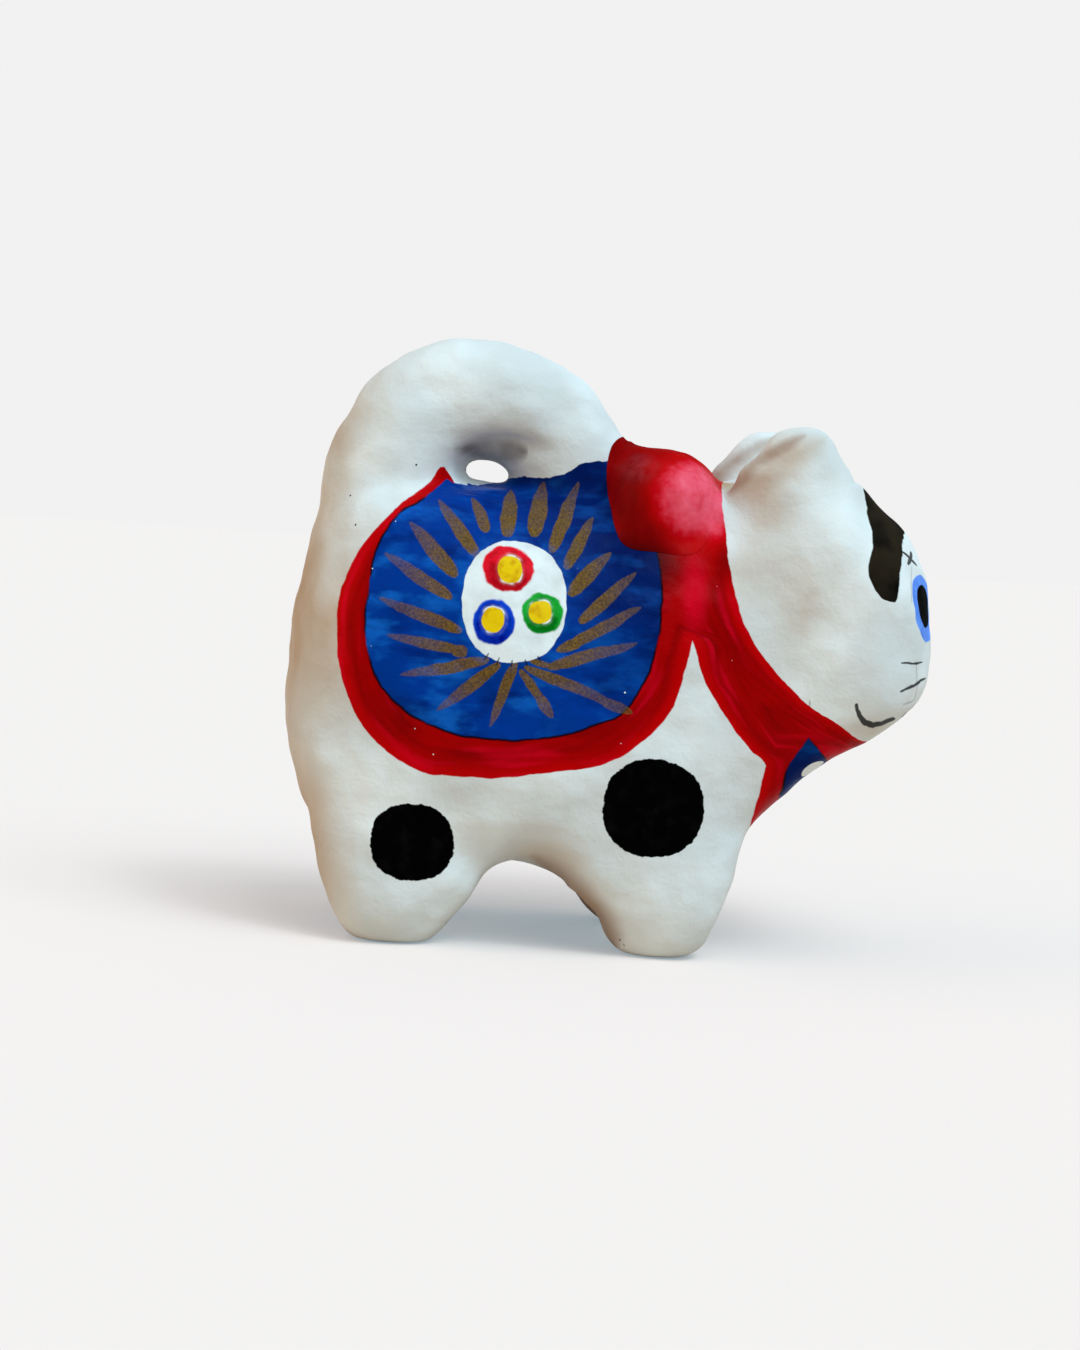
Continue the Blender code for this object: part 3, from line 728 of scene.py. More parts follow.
class Field:
    """A number that varies over a surface. Arithmetic on fields adds Math nodes to their node tree."""

    def __init__(self, tree, socket):
        self.tree = tree
        self.socket = socket

    def math(self, operation, *others):
        node = self.tree.nodes.new("ShaderNodeMath")
        node.operation = operation
        for place, value in enumerate((self, *others)):
            feed(self.tree, node.inputs[place], value)
        return Field(self.tree, node.outputs[0])

    def __add__(self, other):
        return self.math("ADD", other)

    def __sub__(self, other):
        return self.math("SUBTRACT", other)

    def __mul__(self, other):
        return self.math("MULTIPLY", other)

    def __truediv__(self, other):
        return self.math("DIVIDE", other)

    def least(self, other):
        return self.math("MINIMUM", other)

    def most(self, other):
        return self.math("MAXIMUM", other)

    def taken_from(self, value):
        """A number less this field."""
        return self.math("MULTIPLY_ADD", -1.0, value)

    def ramp(self, low=0.0, high=1.0):
        """A soft step from 0 at one value to 1 at another."""
        node = self.tree.nodes.new("ShaderNodeMapRange")
        node.interpolation_type = "SMOOTHSTEP"
        feed(self.tree, node.inputs["Value"], self)
        feed(self.tree, node.inputs["From Min"], low)
        feed(self.tree, node.inputs["From Max"], high)
        return Field(self.tree, node.outputs["Result"])

    def along(self, points):
        """The height of a curve through the given points, at this field's value."""
        starts = [start for start, level in points]
        heights = [level for start, level in points]
        low = min(starts)
        bottom = min(heights)
        width = max(starts) - low
        height = max(heights) - bottom
        places = [((start - low) / width, (level - bottom) / height) for start, level in points]
        node = self.tree.nodes.new("ShaderNodeFloatCurve")
        curve = node.mapping.curves[0]
        curve.points[0].location = places[0]
        curve.points[1].location = places[-1]
        for place in places[1:-1]:
            curve.points.new(*place)
        node.mapping.update()
        share = self.math("MULTIPLY_ADD", 1 / width, -low / width)
        feed(self.tree, node.inputs["Value"], share)
        return Field(self.tree, node.outputs["Value"]).math("MULTIPLY_ADD", height, bottom)


def feed(tree, socket, value):
    """Gives a node's socket a field, another socket or a plain value."""
    if isinstance(value, Field):
        tree.links.new(value.socket, socket)
    elif isinstance(value, bpy.types.NodeSocket):
        tree.links.new(value, socket)
    else:
        socket.default_value = value


def formula_group(name, vectors, numbers, formula):
    """A node group that works out one number from named vectors and numbers."""
    tree = bpy.data.node_groups.new(name, "ShaderNodeTree")
    for word in vectors:
        tree.interface.new_socket(word, in_out="INPUT", socket_type="NodeSocketVector")
    for word in numbers:
        tree.interface.new_socket(word, in_out="INPUT", socket_type="NodeSocketFloat")
    tree.interface.new_socket("result", in_out="OUTPUT", socket_type="NodeSocketFloat")
    start = tree.nodes.new("NodeGroupInput")
    end = tree.nodes.new("NodeGroupOutput")
    places = [start.outputs[word] for word in vectors]
    fields = [Field(tree, start.outputs[word]) for word in numbers]
    feed(tree, end.inputs["result"], formula(tree, *places, *fields))
    return tree


def vector_math(tree, operation, first, second):
    """The vector that an operation makes of two vectors."""
    node = tree.nodes.new("ShaderNodeVectorMath")
    node.operation = operation
    feed(tree, node.inputs[0], first)
    feed(tree, node.inputs[1], second)
    return node.outputs["Vector"]


def noise_at(tree, place, shift, stretch, scale, detail):
    """Soft noise about zero."""
    moved = vector_math(tree, "MULTIPLY", vector_math(tree, "ADD", place, shift), stretch)
    node = tree.nodes.new("ShaderNodeTexNoise")
    feed(tree, node.inputs["Vector"], moved)
    feed(tree, node.inputs["Scale"], scale)
    feed(tree, node.inputs["Detail"], detail)
    return Field(tree, node.outputs["Fac"]) - NOISE_MEAN


def blotches_at(tree, place, shift, stretch, scale, detail, low, high):
    """A soft mask of the blotches where noise passes from a low to a high value."""
    return noise_at(tree, place, shift, stretch, scale, detail).ramp(low, high)


def specks_at(tree, place, shift, stretch, scale, reach, share):
    """A mask of scattered specks of many sizes, at a share of the places."""
    moved = vector_math(tree, "MULTIPLY", vector_math(tree, "ADD", place, shift), stretch)
    node = tree.nodes.new("ShaderNodeTexVoronoi")
    feed(tree, node.inputs["Vector"], moved)
    feed(tree, node.inputs["Scale"], scale)
    split = tree.nodes.new("ShaderNodeSeparateColor")
    feed(tree, split.inputs[0], node.outputs["Color"])
    chance = Field(tree, split.outputs[0])
    size = Field(tree, split.outputs[1]) * (1.0 - LEAST_SPECK) + LEAST_SPECK
    near = (reach * size - Field(tree, node.outputs["Distance"])).ramp(0.0, reach * SPECK_SOFTNESS)
    return near * (chance + share).math("GREATER_THAN", 1.0)


def oval_depth(tree, u, v, centre_u, centre_v, radius_u, radius_v):
    """How far inside a slightly squared oval a place is."""
    across = ((u - centre_u) / radius_u).math("ABSOLUTE").math("POWER", OVAL_SQUARENESS)
    up = ((v - centre_v) / radius_v).math("ABSOLUTE").math("POWER", OVAL_SQUARENESS)
    reach = (across + up).math("POWER", 1 / OVAL_SQUARENESS)
    return reach.taken_from(1.0) * ((radius_u + radius_v) * 0.5)


def space_depth(tree, x, side, z, centre_x, centre_side, centre_z, radius_x, radius_side, radius_z):
    """One at the centre of a rounded space, and zero at its edge."""
    ahead = (x - centre_x) / radius_x
    across = (side - centre_side) / radius_side
    up = (z - centre_z) / radius_z
    return (ahead * ahead + across * across + up * up).math("SQRT").taken_from(1.0)


def stroke_formula(profile):
    """The formula for how far inside one brush stroke a place is, by the stroke's width along its length."""
    def depth(tree, u, v, tip_u, tip_v, step_u, step_v, length, half_width):
        across = ((v - tip_v) * step_u - (u - tip_u) * step_v).math("ABSOLUTE")
        along = ((u - tip_u) * step_u + (v - tip_v) * step_v) / length
        return along.along(profile) * half_width - across
    return depth


STROKE_NUMBERS = ("u", "v", "tip u", "tip v", "step u", "step v", "length", "half width")
NOISE_VECTORS = ("place", "shift", "stretch")
noise_group = formula_group("soft_noise", NOISE_VECTORS, ("scale", "detail"), noise_at)
blotch_group = formula_group("blotches", NOISE_VECTORS, ("scale", "detail", "low", "high"), blotches_at)
speck_group = formula_group("specks", NOISE_VECTORS, ("scale", "reach", "share"), specks_at)
oval_group = formula_group(
    "oval", (), ("u", "v", "centre u", "centre v", "radius u", "radius v"), oval_depth)
space_group = formula_group(
    "rounded_space", (),
    ("x", "side", "z", "centre x", "centre side", "centre z", "radius x", "radius side", "radius z"),
    space_depth)
ray_group = formula_group("gold_ray", (), STROKE_NUMBERS, stroke_formula(RAY_PROFILE))
line_group = formula_group("brush_line", (), STROKE_NUMBERS, stroke_formula(LINE_PROFILE))


class Brushwork:
    """The layers of paint on one material, from the ground up."""

    def __init__(self, name):
        self.material = bpy.data.materials.new(name)
        self.material.use_nodes = True
        self.tree = self.material.node_tree
        self.shader = self.tree.nodes["Principled BSDF"]
        coordinates = self.tree.nodes.new("ShaderNodeTexCoord")
        self.place = coordinates.outputs["Object"]
        split = self.tree.nodes.new("ShaderNodeSeparateXYZ")
        feed(self.tree, split.inputs[0], self.place)
        self.x, self.y, self.z = (Field(self.tree, output) * (1 / MM) for output in split.outputs)
        self.side = self.y.math("ABSOLUTE")

    def worked_out(self, group, *values):
        """The result of a formula group for these values."""
        node = self.tree.nodes.new("ShaderNodeGroup")
        node.node_tree = group
        for socket, value in zip(node.inputs, values):
            feed(self.tree, socket, value)
        return Field(self.tree, node.outputs[0])

    def vector(self, *parts):
        node = self.tree.nodes.new("ShaderNodeCombineXYZ")
        for part, socket in zip(parts, node.inputs):
            feed(self.tree, socket, part)
        return node.outputs[0]

    def dot(self, vector, direction):
        node = self.tree.nodes.new("ShaderNodeVectorMath")
        node.operation = "DOT_PRODUCT"
        feed(self.tree, node.inputs[0], vector)
        feed(self.tree, node.inputs[1], direction)
        return Field(self.tree, node.outputs["Value"])

    def cloud(self, size, seed, detail=PLAIN_DETAIL, stretch=EVEN):
        """Soft noise about zero, with blotches of about this size in millimetres."""
        shift = (seed, -seed, 0.5 * seed)
        return self.worked_out(noise_group, self.place, shift, stretch, 1 / (size * MM), detail)

    def blotches(self, size, seed, low, high, detail=PLAIN_DETAIL, stretch=EVEN, place=None):
        """A soft mask of blotches, where noise passes from a low to a high value."""
        place = place or self.place
        shift = (seed, -seed, 0.5 * seed)
        return self.worked_out(blotch_group, place, shift, stretch, 1 / (size * MM), detail, low, high)

    def along_band(self, depth):
        """A place whose noise runs in streaks along a band, by the depth inside the band's edge."""
        slow = BAND_STREAK_STRETCH * MM
        return self.vector(depth * MM, self.x * slow, self.z * slow)

    def specks(self, spacing, radius, share, seed, stretch=EVEN):
        """A mask of scattered specks, drawn out to hairs by a stretch. Sizes are in millimetres."""
        shift = (seed, seed, -seed)
        scale = 1 / (spacing * MM)
        return self.worked_out(speck_group, self.place, shift, stretch, scale, radius / spacing, share)

    def within(self, centre, radii):
        """One at the centre of a rounded space on either side of the dog, and zero at its edge."""
        x, y, z = centre
        return self.worked_out(space_group, self.x, self.side, self.z, x, -y, z, *radii)

    def blend(self, mask, under, over):
        """A colour: one laid over another where the mask is 1."""
        node = self.tree.nodes.new("ShaderNodeMix")
        node.data_type = "RGBA"
        feed(self.tree, node.inputs["Factor"], mask)
        for colour, name in ((under, "A"), (over, "B")):
            socket = next(each for each in node.inputs if each.name == name and each.type == "RGBA")
            feed(self.tree, socket, (*colour, 1.0) if isinstance(colour, tuple) else colour)
        return next(each for each in node.outputs if each.type == "RGBA")

    def lay(self, mask, colour):
        """Lays a paint over the layers so far."""
        self.colour = self.blend(mask, self.colour, colour)

    def dull(self, mask):
        """Roughens the layers so far where the mask is 1."""
        self.roughness = self.roughness.most(mask * DULL_ROUGHNESS)

    def finish(self, gloss):
        self.shader.inputs["Specular IOR Level"].default_value = gloss
        feed(self.tree, self.shader.inputs["Base Color"], self.colour)
        feed(self.tree, self.shader.inputs["Roughness"], self.roughness)
        bump = self.tree.nodes.new("ShaderNodeBump")
        bump.inputs["Strength"].default_value = 1.0
        bump.inputs["Distance"].default_value = MM
        feed(self.tree, bump.inputs["Height"], self.relief)
        feed(self.tree, self.shader.inputs["Normal"], bump.outputs["Normal"])
        return self.material


class Plane:
    """A plane that paint is set out on, as two fields in millimetres, u across and v up."""

    def __init__(self, work, u, v):
        self.work = work
        self.u = u
        self.v = v

    def oval(self, centre, radii):
        """How far inside an oval each place is."""
        return self.work.worked_out(oval_group, self.u, self.v, *centre, *radii)

    def round_edge(self, centre, edge):
        """How far inside an outline each place is, with the outline given as angle and radius."""
        across = self.u - centre[0]
        up = self.v - centre[1]
        turn = up.math("ARCTAN2", across) / math.tau
        angle = turn.math("WRAP", 1.0, 0.0) * 360.0
        reach = (across * across + up * up).math("SQRT")
        return angle.along(edge) - reach

    def strokes(self, strokes, group):
        """How far inside the nearest of some brush strokes each place is."""
        nearest = None
        for tip, root, width in strokes:
            run = Vector(root) - Vector(tip)
            step = run.normalized()
            inside = self.work.worked_out(group, self.u, self.v, *tip, *step, run.length, 0.5 * width)
            nearest = inside if nearest is None else nearest.most(inside)
        return nearest


def flank_plane(work):
    """The plane of the flank's outlines, alike on both sides, with the wobble of a hand-held brush."""
    mirrored = work.vector(work.x * MM, work.side * -MM, work.z * MM)
    offset = vector_math(work.tree, "SUBTRACT", mirrored, VIEW_CENTRE + EYE_SHIFT)
    nearness = work.dot(offset, VIEW_BACK).taken_from(VIEW_DISTANCE)
    scale = nearness.math("POWER", -1.0) * (VIEW_DISTANCE / MM)
    u = work.dot(offset, VIEW_RIGHT) * scale + EYE_SHIFT.dot(VIEW_RIGHT) / MM
    v = work.dot(offset, VIEW_UP) * scale + (EYE_SHIFT.dot(VIEW_UP) / MM + VIEW_HEIGHT_MM)
    u = u + work.cloud(*FLANK_CLOUD_U) * FLANK_WOBBLE + work.cloud(*FLANK_FINE_CLOUD_U) * FLANK_FINE_WOBBLE
    v = v + work.cloud(*FLANK_CLOUD_V) * FLANK_WOBBLE + work.cloud(*FLANK_FINE_CLOUD_V) * FLANK_FINE_WOBBLE
    return Plane(work, u, v)


def front_plane(work):
    """The plane of the face's outlines from the front: distance from the middle, and height."""
    u = work.side + work.cloud(*FRONT_CLOUD_U) * FRONT_WOBBLE
    v = work.z + work.cloud(*FRONT_CLOUD_V) * FRONT_WOBBLE
    return Plane(work, u, v)


def chalk_ground(work, flank):
    """The chalk ground: off-white, with painted shade in its hollows, specks, hairs and a brushed relief."""
    work.colour = work.blend(work.blotches(*CHALK_TONE), CHALK_GREY, CHALK_WHITE)
    # Painted shade, brown, in the hollows and toward the rear.
    for centre, radii, strength in PAINTED_SHADE_PATCHES:
        uneven = work.cloud(*PAINTED_SHADE_CLOUD) * PAINTED_SHADE_UNEVENNESS + strength
        work.lay(work.within(centre, radii).ramp() * uneven, PAINTED_SHADE_TAN)
    # Painted shade in the hollow of the tail, on the ear, along its ridge and behind the front leg.
    hollow_shade = flank.strokes((TAIL_HOLLOW_SHADE,), ray_group).ramp(*TAIL_HOLLOW_SHADE_EDGE) * work.x.ramp(*TAIL_HOLLOW_SHADE_FRONT_X)
    work.lay(hollow_shade * (work.cloud(*TAIL_HOLLOW_SHADE_CLOUD) * TAIL_HOLLOW_SHADE_UNEVENNESS + TAIL_HOLLOW_SHADE_STRENGTH), SHADE_AND_HAIR_GREY)
    on_ear = work.side.ramp(*EAR_SIDE)
    ear = flank.strokes((EAR_SHADE,), ray_group).ramp(*EAR_SHADE_EDGE)
    work.lay(ear * on_ear * EAR_SHADE_STRENGTH, PAINTED_SHADE_TAN)
    ridge = flank.strokes(RIDGE_SHADE, ray_group).ramp(*RIDGE_SHADE_EDGE)
    work.lay(ridge * on_ear * RIDGE_SHADE_STRENGTH, PAINTED_SHADE_BROWN)
    behind_leg = flank.strokes(LEG_SHADE, ray_group).ramp(*LEG_SHADE_EDGE)
    work.lay(behind_leg * LEG_SHADE_STRENGTH, PAINTED_SHADE_BROWN)
    work.lay(work.specks(*INK_SPECKS), INK_GREY)
    for hairs in HAIR_SPECKS:
        work.lay(work.specks(*hairs) * HAIR_STRENGTH, SHADE_AND_HAIR_GREY)
    work.roughness = work.cloud(*CHALK_ROUGHNESS_CLOUD) * CHALK_ROUGHNESS_SPAN + CHALK_ROUGHNESS
    brushed = work.cloud(*CHALK_BRUSH_CLOUD) * CHALK_BRUSH_HEIGHT
    work.relief = brushed + work.cloud(*CHALK_GRAIN_CLOUD) * CHALK_GRAIN_HEIGHT


def knot_paint(work):
    """Red with painted highlight and sheen on the knot's crown and painted shade at its foot; dark toward
    the saddle cloth.
    """
    crown = work.within(*KNOT_CROWN).ramp(*CROWN_REACH)
    streaks = work.cloud(*KNOT_STREAK_CLOUD) * KNOT_STREAK_STRENGTH
    forward = work.x.ramp(*KNOT_FORWARD_X) * KNOT_FORWARD_RED + KNOT_BASE_RED
    below = work.x.ramp(*KNOT_BELOW_X) * work.z.ramp(*KNOT_BELOW_Z) * KNOT_BELOW_DARK
    red = work.blend(forward - below + crown + streaks, BORDER_DARK, BORDER_RED)
    # Painted sheen in bright red about the crown of the knot.
    red = work.blend((crown + streaks).ramp(*KNOT_SHEEN_REACH), red, SHEEN_RED)
    # Painted shade in deep red at the foot of the knot.
    shade = work.within(*KNOT_SHADE).ramp(*KNOT_SHADE_REACH) * KNOT_SHADE_STRENGTH
    red = work.blend(shade, red, KNOT_SHADE_RED)
    # A painted pink highlight on the crown of the knot.
    paled_patches = crown + streaks * KNOT_HIGHLIGHT_STREAKS + work.cloud(*KNOT_HIGHLIGHT_CLOUD) * KNOT_HIGHLIGHT_UNEVENNESS
    return work.blend(paled_patches.ramp(*KNOT_HIGHLIGHT_REACH), red, HIGHLIGHT_PINK)


def red_paint(work, depth):
    """Red that is deeper toward the middle of its band, by the depth inside the band's edge."""
    along = work.along_band(depth)
    streaks = work.blotches(*BAND_STREAKS, along)
    dark = depth.ramp(*BAND_MIDDLE) * (streaks * BAND_STREAK_DARK + BAND_DARK)
    red = work.blend(dark, BORDER_RED, BORDER_DARK)
    # Painted sheen in bright streaks along the band.
    red = work.blend(work.blotches(*BAND_SHEEN_STREAKS, along) * BAND_SHEEN, red, SHEEN_RED)
    near_knot = work.within(*KNOT_SURROUND).ramp(*KNOT_SURROUND_REACH)
    red = work.blend(near_knot, red, knot_paint(work))
    # A painted highlight streak on the collar below the knot.
    lightened_place = work.within(*COLLAR_HIGHLIGHT).ramp(*COLLAR_HIGHLIGHT_REACH)
    return work.blend(lightened_place * COLLAR_HIGHLIGHT_STRENGTH, red, SHEEN_RED)


def blue_paint(work, flank):
    """Blue in broad strokes, pale at the rear and foot of the saddle cloth and dark toward the nape."""
    toward_nape = flank.u + flank.v * TOWARD_NAPE_V
    blue = work.blend(work.blotches(*SADDLE_TONE), SADDLE_DARK, SADDLE_BLUE)
    blue = work.blend(toward_nape.ramp(*SADDLE_DEEP_REACH) * SADDLE_DEEP_STRENGTH, blue, SADDLE_DEEP)
    rearward = toward_nape.ramp(*SADDLE_STROKE_REACH) * SADDLE_STROKE_REAR + SADDLE_STROKE_BASE
    return work.blend(work.blotches(*SADDLE_STROKES) * rearward, blue, SADDLE_LIGHT)


def ink_paint(work):
    return work.blend(work.blotches(*INK_TONE), INK_BLACK, INK_GREY)


def bib_band(work, flank, chest, before_face):
    """How far inside the bib's red band each place is."""
    band = flank.u - flank.v.along(BAND_REAR)
    band = band + chest * (work.x - BIB_BAND_X - band)
    band = band.least(work.z - BIB_BAND_FOOT).least(flank.v.taken_from(BIB_BAND_TOP))
    return band.least(work.x - BIB_REAR_X).least(before_face)


def bib_field(work, flank, chest):
    """How far inside the bib's blue field each place is."""
    below_corner = (flank.u - FIELD_CORNER[0]) * -FIELD_TOP_SLOPE - flank.v + FIELD_CORNER[1]
    field = (flank.u - flank.v.along(FIELD_REAR)).least(below_corner)
    chest_field = (work.x - BIB_FIELD_X).least(work.z - BIB_FIELD_FOOT)
    chest_field = chest_field.least(flank.v.taken_from(BIB_FIELD_TOP))
    return (field + chest * (chest_field - field)).least(work.x - BIB_REAR_X)


def paint_saddle(work, flank):
    """The red border, collar and bib band, and over them the blue saddle cloth and bib."""
    top = flank.u.along(SADDLE_TOP) - flank.v + work.cloud(*SADDLE_TOP_CLOUD) * SADDLE_TOP_WOBBLE
    border = flank.round_edge(MEDALLION_CENTRE, BORDER_EDGE).least(top + BORDER_ABOVE_SADDLE)
    before_face = flank.v.along(COLLAR_FRONT) - flank.u
    collar = (flank.u - flank.v.along(COLLAR_REAR)).least(before_face).least(flank.v - COLLAR_FOOT)
    chest = work.side.ramp(*CHEST_SIDE)
    band = bib_band(work, flank, chest, before_face)
    red = border.most(collar).most(band)
    depth = border.math("SMOOTH_MAX", collar, BAND_MERGING).math("SMOOTH_MAX", band, BAND_MERGING)
    work.lay(red.ramp(*BRUSH_EDGE), red_paint(work, depth))
    saddle = flank.round_edge(MEDALLION_CENTRE, SADDLE_EDGE).least(top)
    blue = saddle.most(bib_field(work, flank, chest))
    work.lay(blue.ramp(*CRISP_EDGE), blue_paint(work, flank))
    line = blue.math("ABSOLUTE").taken_from(EDGE_LINE_HALF).ramp(*EDGE_LINE_SOFT)
    line = line * top.ramp(*EDGE_LINE_BELOW_TOP)
    work.lay(line * work.blotches(*EDGE_LINE_TONE) * EDGE_LINE_STRENGTH, INK_BLACK)
    painted = red.most(blue).ramp(*PAINTED_EDGE)
    work.lay(work.specks(*CHALK_SPECKS) * painted, CHALK_WHITE)
    work.roughness = work.roughness - painted * PAINT_SMOOTHNESS


def paint_bib_dots(work, front):
    radii = (BIB_DOT_RADIUS, BIB_DOT_RADIUS)
    side_dot = work.within(BIB_SIDE_DOT, (*radii, BIB_DOT_RADIUS)) * BIB_DOT_RADIUS
    work.lay(side_dot.ramp(*CRISP_EDGE), CHALK_WHITE)
    on_bib = work.z.ramp(*BIB_DOT_TOP) * work.x.ramp(*BIB_DOT_REAR)
    for centre in BIB_FRONT_DOTS:
        work.lay(front.oval(centre, radii).ramp(*CRISP_EDGE) * on_bib, CHALK_WHITE)


def paint_rays(work, flank):
    rays = flank.strokes(GOLD_RAYS + RAY_BLOBS, ray_group).ramp(*RAY_EDGE)
    nearness = flank.oval(MEDALLION_CENTRE, MEDALLION_RADII).ramp(*RAY_NEAR_EDGE)
    grain = work.blotches(*RAY_GRAIN_TONE) * RAY_GRAIN_STRENGTH + work.cloud(*RAY_CLOUD) * RAY_UNEVENNESS
    gold = work.blend(work.blotches(*GOLD_TONE), GOLD_DARK, GOLD)
    work.lay(rays * (nearness * RAY_NEAR_STRENGTH + grain + RAY_BASE_STRENGTH), gold)


def paint_medallion(work, flank):
    """The white medallion with a pale blue halo, its three ring flowers and the ticks at its foot."""
    wavering = work.cloud(*MEDALLION_CLOUD) * MEDALLION_WOBBLE
    medallion = flank.oval(MEDALLION_CENTRE, MEDALLION_RADII) + wavering
    work.lay(medallion.ramp(*HALO_EDGE) * work.blotches(*HALO_TONE) * HALO_STRENGTH, SADDLE_LIGHT)
    chalk = work.blend(work.blotches(*MEDALLION_TONE), CHALK_GREY, CHALK_WHITE)
    work.lay(medallion.ramp(*CRISP_EDGE), chalk)
    ring_wobble = work.cloud(*RING_CLOUD) * RING_WOBBLE
    shade = work.blotches(*RING_DARK_TONE) * RING_DARK_STRENGTH + RING_DARK_BASE
    paled_patches = work.blotches(*PALE_RIM_TONE)
    haze = paled_patches * PALE_HAZE_STRENGTH + PALE_HAZE_BASE
    yellow = work.blend(work.blotches(*YELLOW_TONE), FLOWER_YELLOW, FLOWER_AMBER)
    for (centre, radii, eye_centre, eye_radii), dark, bright in FLOWERS:
        ring = flank.oval(centre, radii) + ring_wobble
        below = flank.v.taken_from(centre[1])
        pooled = ring.ramp(*RING_DARK_EDGE) * shade + below.ramp(*POOL_BELOW) * POOL_STRENGTH
        work.lay(ring.ramp(*RING_EDGE), work.blend(pooled, bright, dark))
        eye = flank.oval(eye_centre, eye_radii)
        work.lay(eye.ramp(*PALE_HAZE_EDGE) * haze, CHALK_WHITE)
        work.lay(eye.ramp(*PALE_RIM_EDGE) * paled_patches, CHALK_WHITE)
        work.lay(eye.ramp(*CRISP_EDGE), yellow)
    ticks = flank.strokes(TICKS, line_group).ramp(*TICK_EDGE)
    work.lay(ticks * TICK_STRENGTH, INK_GREY)


def paint_spots(work, flank):
    spots = flank.oval(*HIND_SPOT).most(flank.oval(*FRONT_SPOT)) + work.cloud(*SPOT_CLOUD) * SPOT_WOBBLE
    spots = spots.ramp(*CRISP_EDGE) * work.side.ramp(*SPOT_SIDE)
    work.lay(spots, ink_paint(work))
    work.dull(spots)


def paint_brow(work, flank):
    """The dark brow patch. Gives back its depth."""
    brow = (flank.u - flank.v.along(BROW_REAR)).least(flank.v.along(BROW_FRONT) - flank.u)
    inner = work.side + work.cloud(*BROW_INNER_CLOUD) * BROW_INNER_WOBBLE - BROW_INNER_SIDE
    brow = brow.least(flank.v - BROW_FOOT_V).math("SMOOTH_MIN", inner, BROW_CORNER_ROUNDING)
    work.lay(brow.ramp(*BRUSH_EDGE), work.blend(work.blotches(*BROW_TONE), INK_GREY, INK_BROWN))
    return brow


def paint_face(work, flank, front):
    """The brow patch, eye, nose, lashes, whiskers and mouth."""
    ink = ink_paint(work)
    brow = paint_brow(work, flank)
    ahead = work.x.ramp(*FACE_START_X)
    iris = work.blend(work.blotches(*IRIS_TONE), EYE_DEEP_BLUE, EYE_BLUE)
    work.lay(front.oval(*EYE_RIM).ramp(*CRISP_EDGE) * ahead, iris)
    dark = front.oval(*EYE_PUPIL).most(front.oval(*NOSE)).ramp(*CRISP_EDGE) * ahead
    work.lay(dark, ink)
    work.dull(dark.most(brow.ramp(*CRISP_EDGE)))
    lines = front.strokes(LASHES, line_group).ramp(*CRISP_EDGE)
    for plane, strokes, sides in (
        (flank, WHISKERS, WHISKER_SIDE),
        (front, MOUTH_FRONT, MOUTH_FRONT_SIDE),
        (flank, MOUTH_CORNER, MOUTH_CORNER_SIDE),
    ):
        drawn = plane.strokes(strokes, line_group).ramp(*CRISP_EDGE)
        lines = lines.most(drawn * work.side.ramp(*sides))
    work.lay(lines * ahead * FACE_LINE_STRENGTH, ink)
    pencil = flank.strokes(PENCIL_LINES, line_group).ramp(*CRISP_EDGE)
    work.lay(pencil * work.side.ramp(*WHISKER_SIDE) * ahead * PENCIL_STRENGTH, INK_GREY)


def painted_coat():
    """Every layer of the coat, from the chalk ground up."""
    work = Brushwork("painted_coat")
    flank = flank_plane(work)
    front = front_plane(work)
    chalk_ground(work, flank)
    paint_saddle(work, flank)
    paint_bib_dots(work, front)
    paint_rays(work, flank)
    paint_medallion(work, flank)
    paint_spots(work, flank)
    paint_face(work, flank, front)
    return work.finish(COAT_GLOSS)


def knot_red():
    """The knot's red, with a greyish rub behind its crown."""
    work = Brushwork("knot_red")
    work.colour = knot_paint(work)
    lightened_place = work.within(*KNOT_RUB).ramp(*KNOT_RUB_REACH) * work.blotches(*KNOT_RUB_TONE)
    work.lay(lightened_place * KNOT_RUB_STRENGTH, RUBBED_RED)
    work.roughness = work.cloud(*KNOT_ROUGHNESS_CLOUD) * KNOT_ROUGHNESS_SPAN + KNOT_ROUGHNESS
    dull_foot = work.within(*KNOT_SHADE).ramp(*KNOT_DULL_SHADE_REACH)
    work.dull(work.z.ramp(*KNOT_DULL_TOP_Z).most(dull_foot))
    brushed = work.cloud(*KNOT_BRUSH_CLOUD) * KNOT_BRUSH_HEIGHT
    work.relief = brushed + work.cloud(*KNOT_GRAIN_CLOUD) * KNOT_GRAIN_HEIGHT
    return work.finish(KNOT_GLOSS)


def dress(name, mesh, material, nodes):
    """Puts a piece of the dressed part in the scene."""
    piece = new_object(name, mesh)
    mesh.shade_smooth()
    mesh.materials.clear()
    mesh.materials.append(material)
    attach(piece, "root")
    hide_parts(*nodes)


def seen_or_lighting(tree, seen, lighting):
    """Mixes two shaders: one for the camera, mirrors and glass, and one that lights other things."""
    rays = tree.nodes.new("ShaderNodeLightPath").outputs
    direct = Field(tree, rays["Is Camera Ray"]).most(rays["Is Glossy Ray"]).most(rays["Is Transmission Ray"])
    mix = tree.nodes.new("ShaderNodeMixShader")
    for socket, value in zip(mix.inputs, (direct, lighting, seen)):
        feed(tree, socket, value)
    return mix.outputs[0]


def set_world():
    world = bpy.data.worlds.new("studio")
    bpy.context.scene.world = world
    world.use_nodes = True
    tree = world.node_tree
    room = tree.nodes["Background"]
    room.inputs["Color"].default_value = (*ROOM_LIGHT, 1.0)
    backdrop = tree.nodes.new("ShaderNodeBackground")
    backdrop.inputs["Color"].default_value = (BACKDROP, BACKDROP, BACKDROP, 1.0)
    mixed = seen_or_lighting(tree, backdrop.outputs[0], room.outputs[0])
    tree.links.new(mixed, tree.nodes["World Output"].inputs["Surface"])


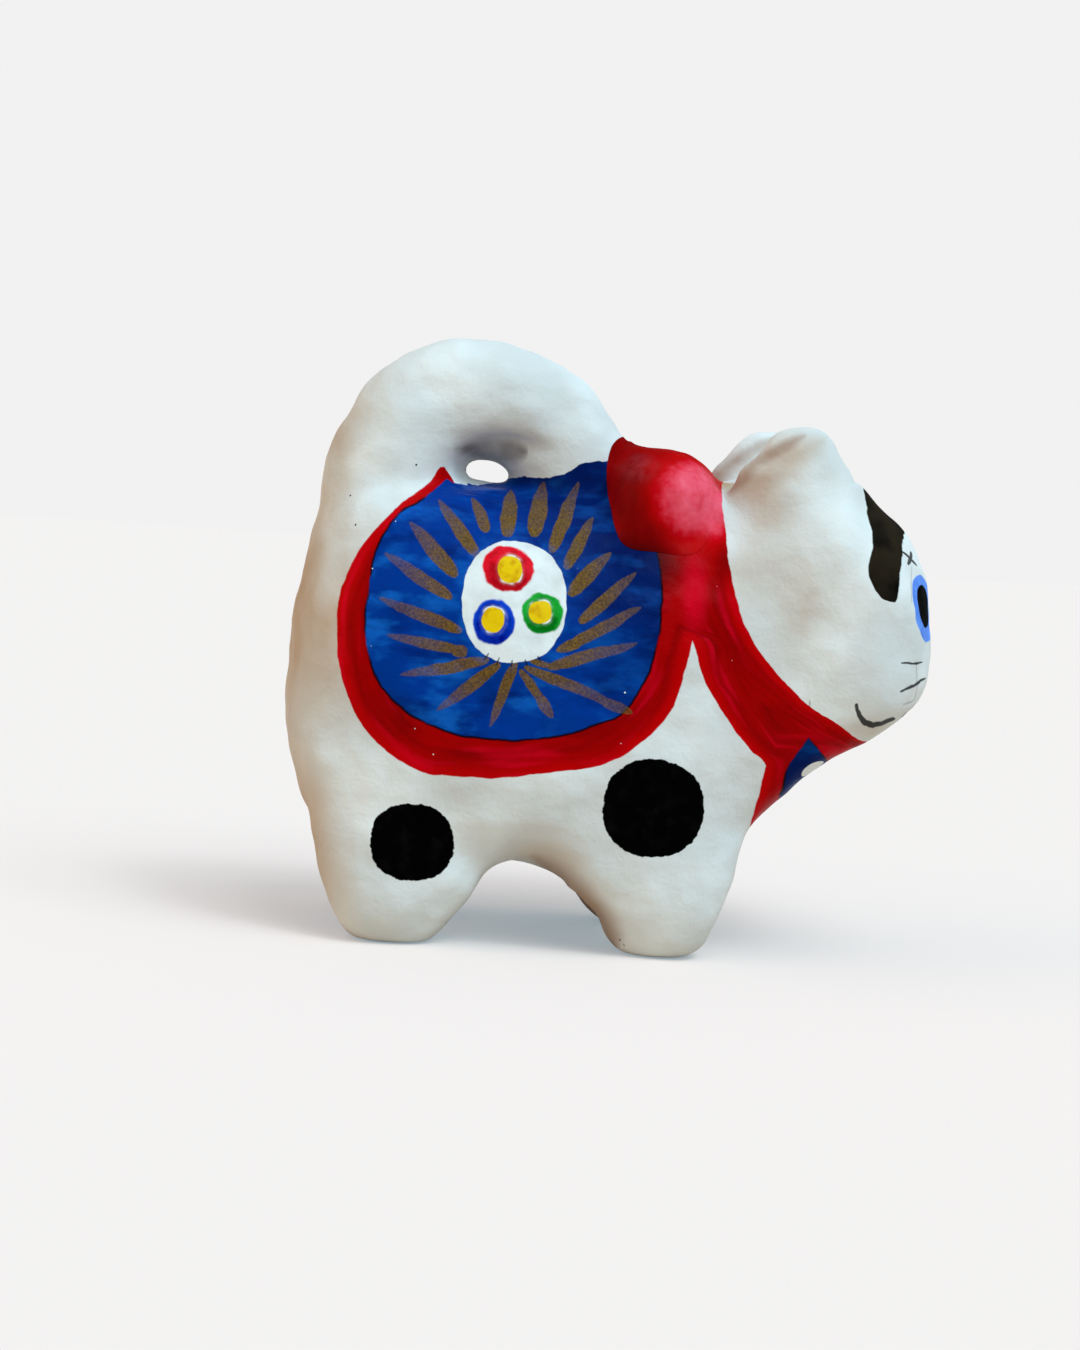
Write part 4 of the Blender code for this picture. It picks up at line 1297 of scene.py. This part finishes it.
def floor_paper():
    """A pale floor that keeps the shadow, and throws a warmer light back up at the dog."""
    material = bpy.data.materials.new("floor_paper")
    material.use_nodes = True
    tree = material.node_tree
    pale = tree.nodes["Principled BSDF"]
    pale.inputs["Base Color"].default_value = (*FLOOR_COLOUR, 1.0)
    pale.inputs["Roughness"].default_value = 1.0
    pale.inputs["Specular IOR Level"].default_value = 0.0
    pale.inputs["Emission Color"].default_value = (*FLOOR_GLOW, 1.0)
    pale.inputs["Emission Strength"].default_value = 1.0
    bounce = tree.nodes.new("ShaderNodeBsdfDiffuse")
    bounce.inputs["Color"].default_value = (*FLOOR_BOUNCE, 1.0)
    mixed = seen_or_lighting(tree, pale.outputs[0], bounce.outputs[0])
    tree.links.new(mixed, tree.nodes["Material Output"].inputs["Surface"])
    return material


def set_floor():
    form = bmesh.new()
    bmesh.ops.create_grid(form, x_segments=FLOOR_SEGMENTS, y_segments=FLOOR_SEGMENTS, size=FLOOR_HALF_SIZE)
    floor = new_object("floor", mesh_from(form, "floor"))
    floor.data.materials.append(floor_paper())


def set_sun(name, direction, colour, strength, spread):
    sun = bpy.data.objects.new(name, bpy.data.lights.new(name, "SUN"))
    bpy.context.scene.collection.objects.link(sun)
    sun.rotation_euler = (-Vector(direction)).to_track_quat("-Z", "Y").to_euler()
    sun.data.color = colour
    sun.data.energy = strength
    sun.data.angle = spread


set_camera()
set_world()
set_floor()
set_sun("window", WINDOW_DIRECTION, WINDOW_COLOUR, WINDOW_STRENGTH, WINDOW_SPREAD)
set_sun("bright_pane", WINDOW_DIRECTION, WINDOW_COLOUR, PANE_STRENGTH, PANE_SPREAD)
set_sun("ceiling", CEILING_DIRECTION, CEILING_COLOUR, CEILING_STRENGTH, CEILING_SPREAD)
set_sun("wall", WALL_DIRECTION, WALL_COLOUR, WALL_STRENGTH, WALL_SPREAD)
skin = skin_over(list(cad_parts))
ease_places(skin)
press_by_hand(skin)
wad = knot_wad(skin)
paper_nodes = [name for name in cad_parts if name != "collar_knot"]
dress("painted_coat", skin, painted_coat(), paper_nodes)
dress("knot_wad", wad, knot_red(), ["collar_knot"])
wad.set_sharp_from_angle(angle=KNOT_CREASE)

bpy.context.scene.view_settings.view_transform = "Standard"
